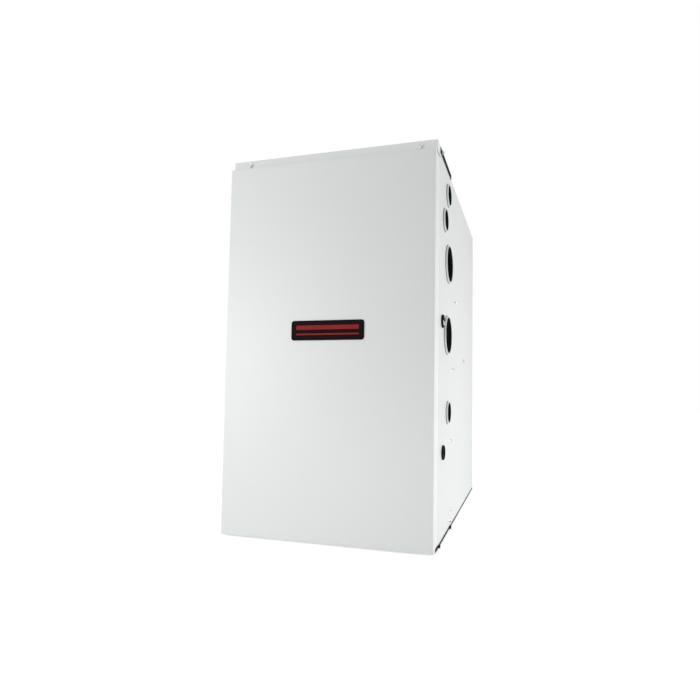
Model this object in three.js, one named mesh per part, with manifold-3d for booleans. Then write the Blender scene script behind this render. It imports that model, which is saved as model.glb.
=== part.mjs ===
// Forced air gas furnace: an upright, upflow, condensing furnace in a painted steel cabinet.
// Millimetres. X runs across the front, Y from the front to the back, Z up.
// The origin is on the floor, at the middle of the cabinet.

import * as THREE from 'three';
import { mergeVertices } from 'three/addons/utils/BufferGeometryUtils.js';
import Module from 'manifold-3d';

// ---- Cabinet ----
const cabinetWidth = 490;          // over both side panels
const cabinetDepth = 724;          // badge face to back panel
const cabinetHeight = 873;         // floor to top plate
const sheet = 1.2;                 // steel sheet of the casing
const fit = 0.3;                   // gap left between faces that touch
const edgeFlange = 14;             // turned-in edges of the casing
const seamGap = 2.5;               // shadow gap under the lip of the top plate
const basePanHeight = 4.7;         // floor pan of the front compartment
const basePanDepth = 165;
const topPlateDepth = 191;         // front strip to rear edge
const topPlateLip = 7;             // height of its side lips
const topPlateOverhang = 1;        // how far the lips stand out past the side panels
const stripHeight = 24;            // front strip above the door
const stripSetback = 16;           // strip behind the face of the door
const vestibuleSetback = 228;      // partition behind the face of the door
const deckHeight = 400;            // top of the blower deck
const deckFlange = 18;
const footInset = 3;               // feet of the top plate, in from the side panels

// ---- Door ----
const doorDepth = 48;              // depth of the folded door pan
const doorClearBelow = 3;
const doorClearAbove = 1;
const doorHem = 10;                // rear hem that meets the casing
const badgeWidth = 171;
const badgeHeight = 44;
const badgeThickness = 1.2;
const badgeCentreX = 6;
const badgeCentreZ = 463;
const badgeCorner = 10;
const railHeight = 22;             // channel inside the door, in line with the deck
const railEndGap = 25;
const padThickness = 10;           // insulation inside the door
const padMargin = 14;

// ---- Holes and bushings ----
const bushingProud = 4.5;          // collar outside the panel
const bushingLip = 2.5;            // collar beyond the edge of its hole
const bushingWall = 2.2;
const bushingReach = 6;            // sleeve inside the panel
const plugDish = 2.6;              // depth of the dish in a plug
const ventHoleWidth = 92;          // over the collars
const pipeHoleWidth = 54;
const drainHoleWidth = 30;
const wiringHoleWidth = 33;

// ---- Primary heat exchanger ----
const tubeRadius = 22.5;
const tubeInset = 150;             // outer tube to the side of the cabinet
const tubeStandOut = 3;            // tube end in front of the partition
const tubeBore = 19;
const tubeBoreDepth = 60;
const firingDrop = 83;             // burner and tube inlet line under the top plate
const lowestRunRise = 50;          // lowest tube run above the coil
const rearTurnShare = 0.273;       // radius of the rear turn as a share of the tube's whole drop
const rearTurnClearance = 27.5;    // rear turn to the back panel
const frontTurnClearance = 14.5;   // front turn to the partition

// ---- Secondary heat exchanger ----
const exchangerInset = 85;         // side of the coil to the side panel
const collectorDepth = 50;
const collectorInset = 16;         // behind the collector box, to the back panel
const collectorTopMargin = 30;     // above the lowest tube run
const coilLift = 30;               // bottom of the coil above the deck
const coilHeight = 90;
const coilPlate = 2;
const finCount = 11;
const finThickness = 1.6;
const finMargin = 8;
const coilTubeCount = 5;
const coilTubeRadius = 8;
const coilTubeStagger = 22;

// ---- Cold header and inducer ----
const headerDepth = 42;
const headerHeight = 130;
const headerWall = 2.5;
const inducerInset = 135;          // axis to the left side of the cabinet
const inducerLift = 100;           // axis above the deck
const inducerDepth = 52;
const inducerWall = 2.5;
const inducerScrollStart = 66;
const inducerScrollEnd = 92;
const inducerOutletHeight = 112;   // outlet flange above the axis
const inducerWheelRadius = 54;
const inducerBladeCount = 10;
const inducerInletRadius = 28;
const inducerShaftRadius = 4;
const inducerMotorRadius = 42;
const inducerMotorLength = 58;
const ventPipeRadius = 30;
const ventPipeWall = 3;
const ventCollarRadius = 23;
const ventCollarHeight = 16;
const limitSwitchRadius = 14;
const limitSwitchBelowBurners = 75;
const pressureSwitchRadius = 34;
const pressureSwitchDepth = 28;
const pressureSwitchX = 60;
const pressureSwitchShare = 0.583; // its height, from the cold header to the burner rack
const hosePort = 3;
const hosePortLength = 10;
const hoseRadius = 5;
const drainHoseRadius = 8;
const trapGap = 10;                // trap beside the cold header
const trapWidth = 46;
const trapDepth = 60;
const trapHeight = 84;
const trapSpigot = 8;

// ---- Burners and gas train ----
const burnerLength = 92;
const burnerTube = 12;             // radius of the mixing tube
const burnerHead = 19;             // radius of the flame head
const burnerGap = 8;               // head to tube end
const rackSetForward = 63;         // burner rack in front of the partition
const rackHeight = 50;
const rackMargin = 16;
const manifoldRadius = 10.5;
const manifoldSetForward = 115;
const valveWidth = 84;
const valveDepth = 60;
const valveHeight = 70;
const valveInset = 78;             // centre of the valve to the right side of the cabinet
const valveDrop = 30;              // top of the valve under the manifold
const valveBoss = 9;
const switchTravel = 8;

// ---- Blower ----
const wheelRadius = 120;
const wheelHalfLength = 104;
const bladeDepth = 18;
const bladeCount = 24;
const bladeThickness = 1.6;
const wheelRing = 5;
const wheelToHousing = 13;         // end clearance inside the housing
const scrollStart = 133;
const scrollEnd = 188;
const blowerSetback = 442;         // axis behind the face of the door
const blowerDrop = 176;            // axis under the deck
const blowerInletRadius = 99;
const shaftRadius = 6.35;
const hubRadius = 16;
const hubHalfLength = 20;
const motorRadius = 68;
const motorLength = 118;
const bandWidth = 24;
const bandThickness = 3;
const armWidth = 16;

// ---- Controls ----
const bracketSetForward = 62;      // control bracket in front of the partition
const bracketHeight = 150;
const boardWidth = 150;
const boardHeight = 110;
const boardThickness = 2;
const boardStandoff = 8;
const relayDepth = 16;             // parts on the board, out from its face
const plugDepth = 12;
const chipDepth = 6;
const plungerRadius = 4;
const plungerTravel = 5;
const doorSwitchInset = 95;        // switch to the right side of the cabinet
const doorSwitchSize = 24;
const transformerX = 60;
const transformerSize = 62;
const transformerDepth = 46;
const transformerRise = 20;        // its middle above the middle of the board
const junctionBoxWidth = 52;
const junctionBoxDepth = 62;
const junctionBoxHeight = 100;
const junctionBoxBottom = 170;

// Holes in the side panels. The first share is how far back a hole is, from the face of the door to
// the partition. The second is its height, from the deck to the top or from the floor to the deck.
const sideHoles = [
  ['upper_air', 0.737, aboveDeck(0.858), pipeHoleWidth],
  ['gas_line', 0.535, aboveDeck(0.698), pipeHoleWidth],
  ['upper_vent', 0.776, aboveDeck(0.505), ventHoleWidth],
  ['drain', 0.395, aboveDeck(0.188), drainHoleWidth],
  ['lower_vent', 0.715, aboveDeck(0.137), ventHoleWidth],
  ['lower_pipe', 0.772, belowDeck(0.703), pipeHoleWidth],
  ['wiring', 0.461, belowDeck(0.488), wiringHoleWidth],
].map(([name, back, height, width]) => ({ name, behind: back * vestibuleSetback, height, width }));
const pluggedHoles = ['gas_line', 'upper_vent', 'lower_vent'];

function aboveDeck(share) {
  return deckHeight + share * (cabinetHeight - deckHeight);
}

function belowDeck(share) {
  return share * deckHeight;
}

// ---- Planes worked out from the sizes ----
const badgeFace = -cabinetDepth / 2;
const doorFace = badgeFace + badgeThickness + fit;
const doorBack = doorFace + doorDepth;
const casingFront = doorBack + fit;
const stripFace = doorFace + stripSetback;
const topPlateBack = stripFace + topPlateDepth;
const basePanBack = casingFront + basePanDepth;
const partition = doorFace + vestibuleSetback;
const backFace = cabinetDepth / 2;
const backInside = backFace - sheet;
const casingBack = backInside - fit;
const sideFace = cabinetWidth / 2;
const sideInside = sideFace - sheet;
const innerX = sideInside - fit;
const flangeEdge = sideFace - edgeFlange;
const sideTop = cabinetHeight - topPlateLip - seamGap;
const sideBottomFront = basePanHeight + fit;
const doorTop = cabinetHeight - stripHeight - doorClearAbove;
const deckUnder = deckHeight - sheet;
const deckFront = casingFront + sheet + fit;
const deckBack = casingBack - sheet - fit;
const overlap = 0.5;               // how far joined pieces run into each other

const exchangerHalfWidth = sideFace - exchangerInset;
const coilBottom = deckHeight + coilLift;
const coilTop = coilBottom + coilHeight;
const collectorBack = backInside - collectorInset;
const collectorFront = collectorBack - collectorDepth;
const tubePitch = sideFace - tubeInset;
const tubeXs = [-tubePitch, 0, tubePitch];
const firingHeight = cabinetHeight - firingDrop;
const lowestRunZ = coilTop + lowestRunRise;
const rearTurnRadius = rearTurnShare * (firingHeight - lowestRunZ);
const middleRunZ = firingHeight - 2 * rearTurnRadius;
const frontTurnRadius = (middleRunZ - lowestRunZ) / 2;
const rearTurnY = backInside - rearTurnClearance - tubeRadius - rearTurnRadius;
const frontTurnY = partition + frontTurnClearance + tubeRadius + frontTurnRadius;

const inducerX = inducerInset - sideFace;
const inducerZ = deckHeight + inducerLift;
const headerFront = partition - fit - headerDepth;
const headerBottom = deckHeight + sheet + 3 * fit + headerWall;
const headerTop = headerBottom + headerHeight;
const inducerBack = headerFront - fit;
const inducerFront = inducerBack - inducerDepth;
const inducerMiddle = (inducerFront + inducerBack) / 2;
const ventX = inducerX - inducerScrollEnd + inducerWall + ventPipeRadius;
const ventPipeTop = cabinetHeight + 2;
const ventBore = clearing(ventPipeRadius);
const ventHole = ventBore + bushingWall;
const inducerPortX = inducerX + inducerScrollStart / 3;
const inducerPortTop = inducerZ + inducerScrollStart + 20;

const limitSwitchZ = firingHeight - limitSwitchBelowBurners;
const rackBottom = firingHeight - rackHeight / 2;
const pressureSwitchZ = headerTop + pressureSwitchShare * (rackBottom - headerTop);
const pressurePortX = pressureSwitchX - pressureSwitchRadius - hosePortLength;
const pressurePortY = partition - fit - pressureSwitchDepth / 2;
const trapLeft = exchangerHalfWidth + trapGap;
const trapFront = partition - edgeFlange - fit - trapDepth;
const trapMiddle = headerFront + headerDepth / 2;
const drainZ = coilBottom;

const rackFront = partition - rackSetForward;
const rackHalfWidth = tubePitch + burnerHead + rackMargin;
const manifoldY = partition - manifoldSetForward;
const burnerBack = partition - tubeStandOut - burnerGap;
const burnerFront = burnerBack - burnerLength;
const valveX = sideFace - valveInset;
const valveTop = firingHeight - valveDrop;
const valveFront = manifoldY - valveDepth / 2;

const blowerY = doorFace + blowerSetback;
const blowerZ = deckUnder - blowerDrop;
const housingHalfWidth = wheelHalfLength + wheelToHousing;
const outletTop = deckUnder - fit;
const doorSwitchX = sideFace - doorSwitchInset;
const cutoffAngle = THREE.MathUtils.degToRad(10);
const motorEnd = -hubHalfLength - 8;

// ---- Turning shapes into solids ----
const wasm = await Module();
wasm.setup();

const alongX = new THREE.Vector3(1, 0, 0);
const alongY = new THREE.Vector3(0, 1, 0);
const alongZ = new THREE.Vector3(0, 0, 1);

// Corners are rounded to this fraction of a millimetre, so that faces meant to share a plane do.
const cornerSteps = 64;

// A closed geometry becomes a solid with its faces pointing out.
function solid(geometry) {
  const bare = geometry.clone();
  bare.deleteAttribute('normal');
  bare.deleteAttribute('uv');
  const places = bare.attributes.position.array;
  places.forEach((value, i) => {
    places[i] = Math.round(value * cornerSteps) / cornerSteps;
  });
  const merged = mergeVertices(bare, 1e-3);
  const position = merged.attributes.position;
  const corner = [new THREE.Vector3(), new THREE.Vector3(), new THREE.Vector3()];
  const triangles = [];
  let volume = 0;
  for (let i = 0; i < merged.index.count; i += 3) {
    const ids = [0, 1, 2].map((k) => merged.index.getX(i + k));
    if (ids[0] === ids[1] || ids[1] === ids[2] || ids[2] === ids[0]) continue;
    corner.forEach((point, k) => point.fromBufferAttribute(position, ids[k]));
    volume += corner[0].dot(corner[1].clone().cross(corner[2]));
    triangles.push(ids);
  }
  if (volume < 0) triangles.forEach((ids) => ids.reverse());
  const vertProperties = new Float32Array(position.array);
  const triVerts = new Uint32Array(triangles.flat());
  return new wasm.Manifold(new wasm.Mesh({ numProp: 3, vertProperties, triVerts }));
}

function join(first, ...others) {
  return others.reduce((all, one) => all.add(one), first);
}

function cut(body, ...tools) {
  return tools.reduce((rest, tool) => rest.subtract(tool), body);
}

function block(x0, x1, y0, y1, z0, z1) {
  const box = new THREE.BoxGeometry(x1 - x0, y1 - y0, z1 - z0);
  box.translate((x0 + x1) / 2, (y0 + y1) / 2, (z0 + z1) / 2);
  return solid(box);
}

// A block on one side of the cabinet: inner and outer are distances from the middle.
function sideBlock(side, inner, outer, y0, y1, z0, z1) {
  return side > 0 ? block(inner, outer, y0, y1, z0, z1) : block(-outer, -inner, y0, y1, z0, z1);
}

// A shape drawn in (y, z), extruded across X.
function acrossX(shape, x0, x1) {
  const bar = new THREE.ExtrudeGeometry(shape, { depth: x1 - x0, bevelEnabled: false, curveSegments: 8 });
  bar.applyMatrix4(new THREE.Matrix4().makeBasis(alongY, alongZ, alongX));
  bar.translate(x0, 0, 0);
  return solid(bar);
}

// A shape drawn in (x, z), extruded from front to back.
function acrossY(shape, y0, y1) {
  const bar = new THREE.ExtrudeGeometry(shape, { depth: y1 - y0, bevelEnabled: false, curveSegments: 8 });
  bar.applyMatrix4(new THREE.Matrix4().makeBasis(alongX, alongZ, alongY.clone().negate()));
  bar.translate(0, y1, 0);
  return solid(bar);
}

function outline(points) {
  return new THREE.Shape(points.map(([u, v]) => new THREE.Vector2(u, v)));
}

// A turned piece: the profile is (radius, distance along the axis) from the origin point.
function turned(profile, origin, axis, sides = 16) {
  const points = profile.map(([radius, along]) => new THREE.Vector2(radius, along));
  const lathe = new THREE.LatheGeometry(points, sides);
  lathe.applyQuaternion(new THREE.Quaternion().setFromUnitVectors(alongY, axis));
  lathe.translate(...origin);
  return solid(lathe);
}

function rod(radius, from, length, axis, sides = 16) {
  return turned([[0, 0], [radius, 0], [radius, length], [0, length]], from, axis, sides);
}

// The corner radius of a faceted hole whose flats just clear a round piece with a gap of fit.
function clearing(radius, sides = 16) {
  return (radius + fit) / Math.cos(Math.PI / sides);
}

function ring(inner, outer, from, length, axis, sides = 16) {
  const profile = [[inner, 0], [outer, 0], [outer, length], [inner, length], [inner, 0]];
  return turned(profile, from, axis, sides);
}

// A round tube along a path in space.
function tubeAlong(path, radius, sides, steps) {
  const section = new THREE.Shape();
  for (let i = 0; i < sides; i += 1) {
    const turn = (i / sides) * 2 * Math.PI;
    const point = [radius * Math.cos(turn), radius * Math.sin(turn)];
    if (i === 0) section.moveTo(...point);
    else section.lineTo(...point);
  }
  return solid(new THREE.ExtrudeGeometry(section, { steps, extrudePath: path }));
}

const furnace = new THREE.Group();

function geometryOf(body) {
  const mesh = body.getMesh();
  const geometry = new THREE.BufferGeometry();
  geometry.setAttribute('position', new THREE.BufferAttribute(new Float32Array(mesh.vertProperties), 3));
  geometry.setIndex(new THREE.BufferAttribute(new Uint32Array(mesh.triVerts), 1));
  return geometry;
}

// The finished body is rounded once more, which closes the slivers that joining leaves.
function add(name, body, material) {
  const geometry = geometryOf(solid(geometryOf(body)));
  geometry.computeVertexNormals();
  const node = new THREE.Mesh(geometry, material);
  node.name = name;
  furnace.add(node);
}

// ---- Materials ----
function finish(color, roughness, metalness) {
  return new THREE.MeshStandardMaterial({ color, roughness, metalness });
}

const paintedSteel = () => finish(0xd9dddb, 0.45, 0);
const galvanized = () => finish(0xb4b8ba, 0.4, 0.9);
const aluminized = () => finish(0x9c9a94, 0.5, 0.9);
const aluminium = () => finish(0xc8cacc, 0.35, 1);
const blackPlastic = () => finish(0x17181a, 0.5, 0);
const greyPlastic = () => finish(0x85898c, 0.55, 0);
const whitePlastic = () => finish(0xe6e6e0, 0.5, 0);
const blackPaint = () => finish(0x1d1d1f, 0.55, 0.2);
const badgeFilm = () => finish(0x0f0506, 0.25, 0);
const glassWool = () => finish(0xc9b458, 0.95, 0);
const rubber = () => finish(0x1a1a1a, 0.8, 0);
const boardGreen = () => finish(0x1f5a36, 0.6, 0);
const ceramic = () => finish(0xdedbd0, 0.7, 0);

// ---- Casing ----
function sidePanel(side, holes) {
  const stepY = basePanBack + fit;
  const wallOutline = outline([
    [casingFront, sideBottomFront], [stepY, sideBottomFront], [stepY, 0],
    [casingBack, 0], [casingBack, sideTop], [casingFront, sideTop],
  ]);
  const [x0, x1] = side > 0 ? [sideInside, sideFace] : [-sideFace, -sideInside];
  const inner = flangeEdge;
  const outer = sideFace;
  const panel = join(
    acrossX(wallOutline, x0, x1),
    sideBlock(side, inner, outer, casingFront, casingFront + sheet, sideBottomFront, sideTop),
    sideBlock(side, inner, outer, casingBack - sheet, casingBack, 0, sideTop),
    sideBlock(side, inner, outer, casingFront, casingBack, sideTop - sheet, sideTop),
    sideBlock(side, inner, outer, casingFront, stepY, sideBottomFront, sideBottomFront + sheet),
    sideBlock(side, inner, outer, stepY, casingBack, 0, sheet),
  );
  const drills = holes.map((hole) => {
    const radius = hole.width / 2 - bushingLip;
    const start = [side * (sideInside - sheet), doorFace + hole.behind, hole.height];
    return rod(radius, start, 3 * sheet, alongX.clone().multiplyScalar(side), holeSides(radius));
  });
  return cut(panel, ...drills);
}

function backPanel() {
  const flangeX = flangeEdge - fit;
  return join(
    block(-sideFace, sideFace, backInside, backFace, 0, sideTop),
    block(-flangeX, flangeX, backInside - edgeFlange, backInside + overlap, sideTop - sheet, sideTop),
    block(-flangeX, flangeX, backInside - edgeFlange, backInside + overlap, 0, sheet),
  );
}

// The top plate is a shallow tray over the front compartment. Its front edge is the strip above
// the door, its side lips end above the side panels, and two feet stand on their flanges.
function topPlate() {
  const half = sideFace + topPlateOverhang;
  const stripBottom = cabinetHeight - stripHeight;
  const lipBottom = cabinetHeight - topPlateLip;
  const under = cabinetHeight - sheet;
  const tray = cut(
    block(-half, half, stripFace, topPlateBack, stripBottom, cabinetHeight),
    block(-half + sheet, half - sheet, stripFace + sheet, topPlateBack + 1, stripBottom - 1, under),
    block(-half - 1, half + 1, doorBack, topPlateBack + 1, stripBottom - 1, lipBottom),
  );
  const footOuter = sideFace - footInset;
  const feet = [-1, 1].flatMap((side) => [
    sideBlock(side, footOuter - sheet, footOuter, casingFront, topPlateBack, sideTop + fit, under + overlap),
    sideBlock(side, flangeEdge, footOuter, casingFront, topPlateBack, sideTop + fit, sideTop + fit + sheet),
  ]);
  const vent = rod(ventHole, [ventX, inducerMiddle, under - 1], 4, alongZ, holeSides(ventHole));
  const intake = rod(ventHole, [-ventX, inducerMiddle, under - 1], 4, alongZ, holeSides(ventHole));
  return cut(join(tray, ...feet), vent, intake);
}

function basePan() {
  const half = sideFace - 1;
  return cut(
    block(-half, half, casingFront, basePanBack, 0, basePanHeight),
    block(-half + sheet, half - sheet, casingFront + sheet, basePanBack - sheet, -1, basePanHeight - sheet),
  );
}

// The partition between the burners and the heat exchangers.
function vestibulePanel() {
  const low = deckHeight + fit;
  const high = sideTop - sheet - fit;
  const middleTop = cabinetHeight - sheet - fit;
  const middleX = flangeEdge - fit;
  const forward = partition - topPlateBack + edgeFlange;
  const panel = join(
    block(-innerX, innerX, partition, partition + sheet, low, high),
    block(-middleX, middleX, partition, partition + sheet, low, middleTop),
    block(-middleX, middleX, partition - forward, partition + overlap, middleTop - sheet, middleTop),
    block(-innerX, innerX, partition - edgeFlange, partition + overlap, low, low + sheet),
    sideBlock(1, innerX - sheet, innerX, partition, partition + edgeFlange, low, high),
    sideBlock(-1, innerX - sheet, innerX, partition, partition + edgeFlange, low, high),
  );
  const tubeHoles = tubeXs.map((x) => rod(clearing(tubeRadius), [x, partition - 1, firingHeight], 4, alongY));
  const windowX = exchangerHalfWidth - finMargin;
  const window = block(-windowX, windowX, partition - 1, partition + 3, coilBottom + finMargin, coilTop - finMargin);
  const sensing = rod(clearing(limitSwitchRadius), [0, partition - 1, limitSwitchZ], 4, alongY);
  return cut(panel, ...tubeHoles, window, sensing);
}

function blowerDeck() {
  const [outletFront, outletBack] = outletSpan(-sheet);
  const halfOutlet = housingHalfWidth - sheet;
  const plate = join(
    block(-innerX, innerX, deckFront, deckBack, deckUnder, deckHeight),
    block(-innerX, innerX, deckFront, deckFront + sheet, deckHeight - railHeight, deckHeight),
    block(-innerX, innerX, deckBack - sheet, deckBack, deckHeight - deckFlange, deckHeight),
    sideBlock(1, innerX - sheet, innerX, deckFront, deckBack, deckHeight - deckFlange, deckHeight),
    sideBlock(-1, innerX - sheet, innerX, deckFront, deckBack, deckHeight - deckFlange, deckHeight),
  );
  const opening = block(-halfOutlet, halfOutlet, outletFront, outletBack, deckUnder - 1, deckHeight + 1);
  const switchZ = deckHeight - railHeight / 2 - sheet / 2;
  const plungerHole = rod(plungerRadius + 1, [doorSwitchX, deckFront - 1, switchZ], 4, alongY);
  return cut(plate, opening, plungerHole);
}

// ---- Door ----
function frontDoor() {
  const pan = cut(
    block(-sideFace, sideFace, doorFace, doorBack, doorClearBelow, doorTop),
    block(
      -sideInside, sideInside, doorFace + sheet, doorBack - sheet, doorClearBelow + sheet, doorTop - sheet,
    ),
    block(
      -sideFace + doorHem, sideFace - doorHem, doorBack - 2 * sheet, doorBack + 1,
      doorClearBelow + doorHem, doorTop - doorHem,
    ),
  );
  return pan;
}

// A hat channel across the inside of the door. It stiffens the skin and meets the deck's front edge.
function doorRail() {
  const half = sideInside - doorHem - railEndGap;
  const z0 = deckHeight - railHeight;
  const y0 = doorFace + sheet + fit;
  const y1 = doorBack - sheet;
  return join(
    block(-half, half, y1 - sheet, y1, z0, deckHeight),
    block(-half, half, y0, y1, deckHeight - sheet, deckHeight),
    block(-half, half, y0, y1, z0, z0 + sheet),
    block(-half, half, y0, y0 + sheet, deckHeight - sheet, deckHeight + edgeFlange),
    block(-half, half, y0, y0 + sheet, z0 - edgeFlange, z0 + sheet),
  );
}

function doorInsulation() {
  const half = sideInside - padMargin;
  const y0 = doorFace + sheet + fit;
  const slotHalf = sideInside - doorHem - railEndGap + 2;
  return cut(
    block(-half, half, y0, y0 + padThickness, doorClearBelow + padMargin, doorTop - padMargin),
    block(
      -slotHalf, slotHalf, y0 - 1, y0 + padThickness + 1,
      deckHeight - railHeight - edgeFlange - 2, deckHeight + edgeFlange + 2,
    ),
  );
}

function roundedPlate(width, height, corner, x, z) {
  const shape = new THREE.Shape();
  const left = x - width / 2;
  const right = x + width / 2;
  const low = z - height / 2;
  const high = z + height / 2;
  shape.moveTo(left + corner, low);
  shape.lineTo(right - corner, low);
  shape.absarc(right - corner, low + corner, corner, -Math.PI / 2, 0);
  shape.absarc(right - corner, high - corner, corner, 0, Math.PI / 2);
  shape.absarc(left + corner, high - corner, corner, Math.PI / 2, Math.PI);
  shape.absarc(left + corner, low + corner, corner, Math.PI, 1.5 * Math.PI);
  return shape;
}

function badge() {
  const shape = roundedPlate(badgeWidth, badgeHeight, badgeCorner, badgeCentreX, badgeCentreZ);
  return acrossY(shape, badgeFace, badgeFace + badgeThickness);
}

// ---- Bushings and plugs ----
// Both snap into a hole: a collar outside, and a sleeve through the sheet that tapers to its end.
function snapProfile(hole, bore) {
  const sleeveEnd = -sheet - bushingReach;
  return [
    [bore, bushingProud], [hole + bushingLip, bushingProud], [hole + bushingLip, fit],
    [hole - fit, fit], [hole - fit, -sheet], [bore + 1, sleeveEnd], [bore, sleeveEnd],
  ];
}

// Facets around a bushing, its plug and the hole that it sits in.
function holeSides(hole) {
  return hole > 30 ? 24 : 16;
}

function bushing(hole, bore, origin, axis) {
  const profile = snapProfile(hole, bore);
  return turned([...profile, profile[0]], origin, axis, holeSides(hole));
}

function plug(hole, bore, origin, axis) {
  const dish = bushingProud - plugDish;
  const top = [[0, dish], [bore - bushingWall, dish]];
  const under = [[bore, 0], [0, 0]];
  return turned([...top, ...snapProfile(hole, bore), ...under], origin, axis, holeSides(hole));
}

function addSideHoles() {
  const rightSide = alongX;
  const leftSide = alongX.clone().negate();
  for (const hole of sideHoles) {
    const radius = hole.width / 2 - bushingLip;
    const bore = radius - bushingWall;
    const place = [doorFace + hole.behind, hole.height];
    add(`right_bushing_${hole.name}`, bushing(radius, bore, [sideFace, ...place], rightSide), greyPlastic());
    if (!pluggedHoles.includes(hole.name)) continue;
    add(`left_plug_${hole.name}`, plug(radius, bore, [-sideFace, ...place], leftSide), greyPlastic());
  }
}

// ---- Primary heat exchanger ----
// A half turn in the (y, z) plane at one x, from the upper run down to the lower run.
class HalfTurn extends THREE.Curve {
  constructor(x, y, z, radius, direction) {
    super();
    this.centre = new THREE.Vector3(x, y, z);
    this.radius = radius;
    this.direction = direction;
  }

  getPoint(t, target = new THREE.Vector3()) {
    const angle = Math.PI / 2 - Math.PI * t;
    const y = this.direction * this.radius * Math.cos(angle);
    const z = this.radius * Math.sin(angle);
    return target.set(this.centre.x, this.centre.y + y, this.centre.z + z);
  }
}

// One firing tube: back, down, forward, down and back again into the collector box.
function serpentinePath(x) {
  const at = (y, z) => new THREE.Vector3(x, y, z);
  const path = new THREE.CurvePath();
  path.add(new THREE.LineCurve3(at(partition - tubeStandOut, firingHeight), at(rearTurnY, firingHeight)));
  path.add(new HalfTurn(x, rearTurnY, (firingHeight + middleRunZ) / 2, rearTurnRadius, 1));
  path.add(new THREE.LineCurve3(at(rearTurnY, middleRunZ), at(frontTurnY, middleRunZ)));
  path.add(new HalfTurn(x, frontTurnY, (middleRunZ + lowestRunZ) / 2, frontTurnRadius, -1));
  path.add(new THREE.LineCurve3(at(frontTurnY, lowestRunZ), at(collectorFront + sheet + 4, lowestRunZ)));
  return path;
}

function exchangerTube(x) {
  const tube = tubeAlong(serpentinePath(x), tubeRadius, 10, 42);
  const mouth = [x, partition - tubeStandOut - 1, firingHeight];
  return cut(tube, rod(tubeBore, mouth, tubeBoreDepth + 1, alongY, 10));
}

// ---- Secondary heat exchanger ----
function hotCollector() {
  const half = exchangerHalfWidth;
  const top = lowestRunZ + collectorTopMargin;
  const shell = cut(
    block(-half, half, collectorFront, collectorBack, coilBottom, top),
    block(-half + sheet, half - sheet, collectorFront + sheet, collectorBack - sheet, coilBottom + sheet, top - sheet),
  );
  const mouths = tubeXs.map((x) => rod(clearing(tubeRadius), [x, collectorFront - 1, lowestRunZ], 4, alongY));
  const windowX = half - finMargin;
  const window = block(
    -windowX, windowX, collectorFront - 1, collectorFront + 2, coilBottom + finMargin, coilTop - finMargin,
  );
  return cut(shell, ...mouths, window);
}

// The condensing coil: a frame, upright fins across it and tubes from the collector to the header.
function secondaryCoil() {
  const half = exchangerHalfWidth;
  const y0 = partition + sheet + fit;
  const y1 = collectorFront - fit;
  const frame = [
    block(-half, half, y0, y0 + coilPlate, coilBottom, coilTop),
    block(-half, half, y1 - coilPlate, y1, coilBottom, coilTop),
    block(-half, -half + coilPlate, y0, y1, coilBottom, coilTop),
    block(half - coilPlate, half, y0, y1, coilBottom, coilTop),
  ];
  const fins = [];
  const pitch = (y1 - y0) / (finCount + 1);
  for (let i = 1; i <= finCount; i += 1) {
    const y = y0 + i * pitch;
    const reach = half - coilPlate + overlap;
    fins.push(block(-reach, reach, y, y + finThickness, coilBottom + finMargin, coilTop - finMargin));
  }
  const tubes = [];
  const spread = (2 * half) / (coilTubeCount + 1);
  for (let i = 1; i <= coilTubeCount; i += 1) {
    const x = -half + i * spread;
    const z = (coilBottom + coilTop) / 2 + (i % 2 ? 0.5 : -0.5) * coilTubeStagger;
    tubes.push(rod(coilTubeRadius, [x, y0, z], y1 - y0, alongY, 6));
  }
  return join(...frame, ...fins, ...tubes);
}

// ---- Cold header, inducer and vent ----
function coldHeader() {
  const x0 = inducerX - inducerScrollEnd + 2;
  const x1 = exchangerHalfWidth;
  const z0 = headerBottom;
  const z1 = headerTop;
  const back = partition - fit;
  const shell = cut(
    block(x0, x1, headerFront, back, z0, z1),
    block(x0 + headerWall, x1 - headerWall, headerFront + headerWall, back + 1, z0 + headerWall, z1 - headerWall),
    rod(inducerInletRadius, [inducerX, headerFront - 1, inducerZ], headerWall + 2, alongY),
  );
  const drain = rod(trapSpigot, [x1 - overlap, trapMiddle, drainZ], trapLeft - fit - x1 + overlap, alongX, 12);
  return join(shell, drain);
}

// The outline of a scroll housing about its axis, drawn in (sideways, up). The outlet points up,
// and its long wall is on the positive side.
function scrollOutline(start, end, inset, top) {
  const points = [];
  const steps = 16;
  for (let i = 0; i <= steps; i += 1) {
    const angle = cutoffAngle + (i / steps) * (1.5 * Math.PI - cutoffAngle);
    const radius = start + (end - start) * (i / steps) - inset;
    points.push([-radius * Math.sin(angle), radius * Math.cos(angle)]);
  }
  points.push([end - inset, top]);
  points.push([points[0][0], top]);
  return points;
}

function inducerOutline(inset, extraTop) {
  const flip = ([u, v]) => [inducerX - u, inducerZ + v];
  const top = inducerOutletHeight + extraTop;
  return outline(scrollOutline(inducerScrollStart, inducerScrollEnd, inset, top).map(flip));
}

function inducerHousing() {
  const shell = cut(
    acrossY(inducerOutline(0, 0), inducerFront, inducerBack),
    acrossY(inducerOutline(inducerWall, 1), inducerFront + inducerWall, inducerBack - inducerWall),
    rod(inducerInletRadius, [inducerX, inducerBack - inducerWall - 1, inducerZ], inducerWall + 2, alongY),
    rod(inducerShaftRadius + 1, [inducerX, inducerFront - 1, inducerZ], inducerWall + 2, alongY),
  );
  const outletX0 = inducerX - inducerScrollEnd;
  const outletX1 = inducerX + inducerScrollStart * Math.sin(cutoffAngle);
  const outletZ = inducerZ + inducerOutletHeight;
  const lid = block(outletX0, outletX1, inducerFront, inducerBack, outletZ - inducerWall, outletZ);
  const collarBase = [ventX, inducerMiddle, outletZ - overlap];
  const collar = rod(ventCollarRadius, collarBase, ventCollarHeight + overlap, alongZ);
  const boreBase = [ventX, inducerMiddle, outletZ - inducerWall - 1];
  const bore = rod(ventCollarRadius - inducerWall, boreBase, ventCollarHeight + inducerWall + 2, alongZ);
  return cut(join(shell, lid, collar), bore);
}

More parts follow.
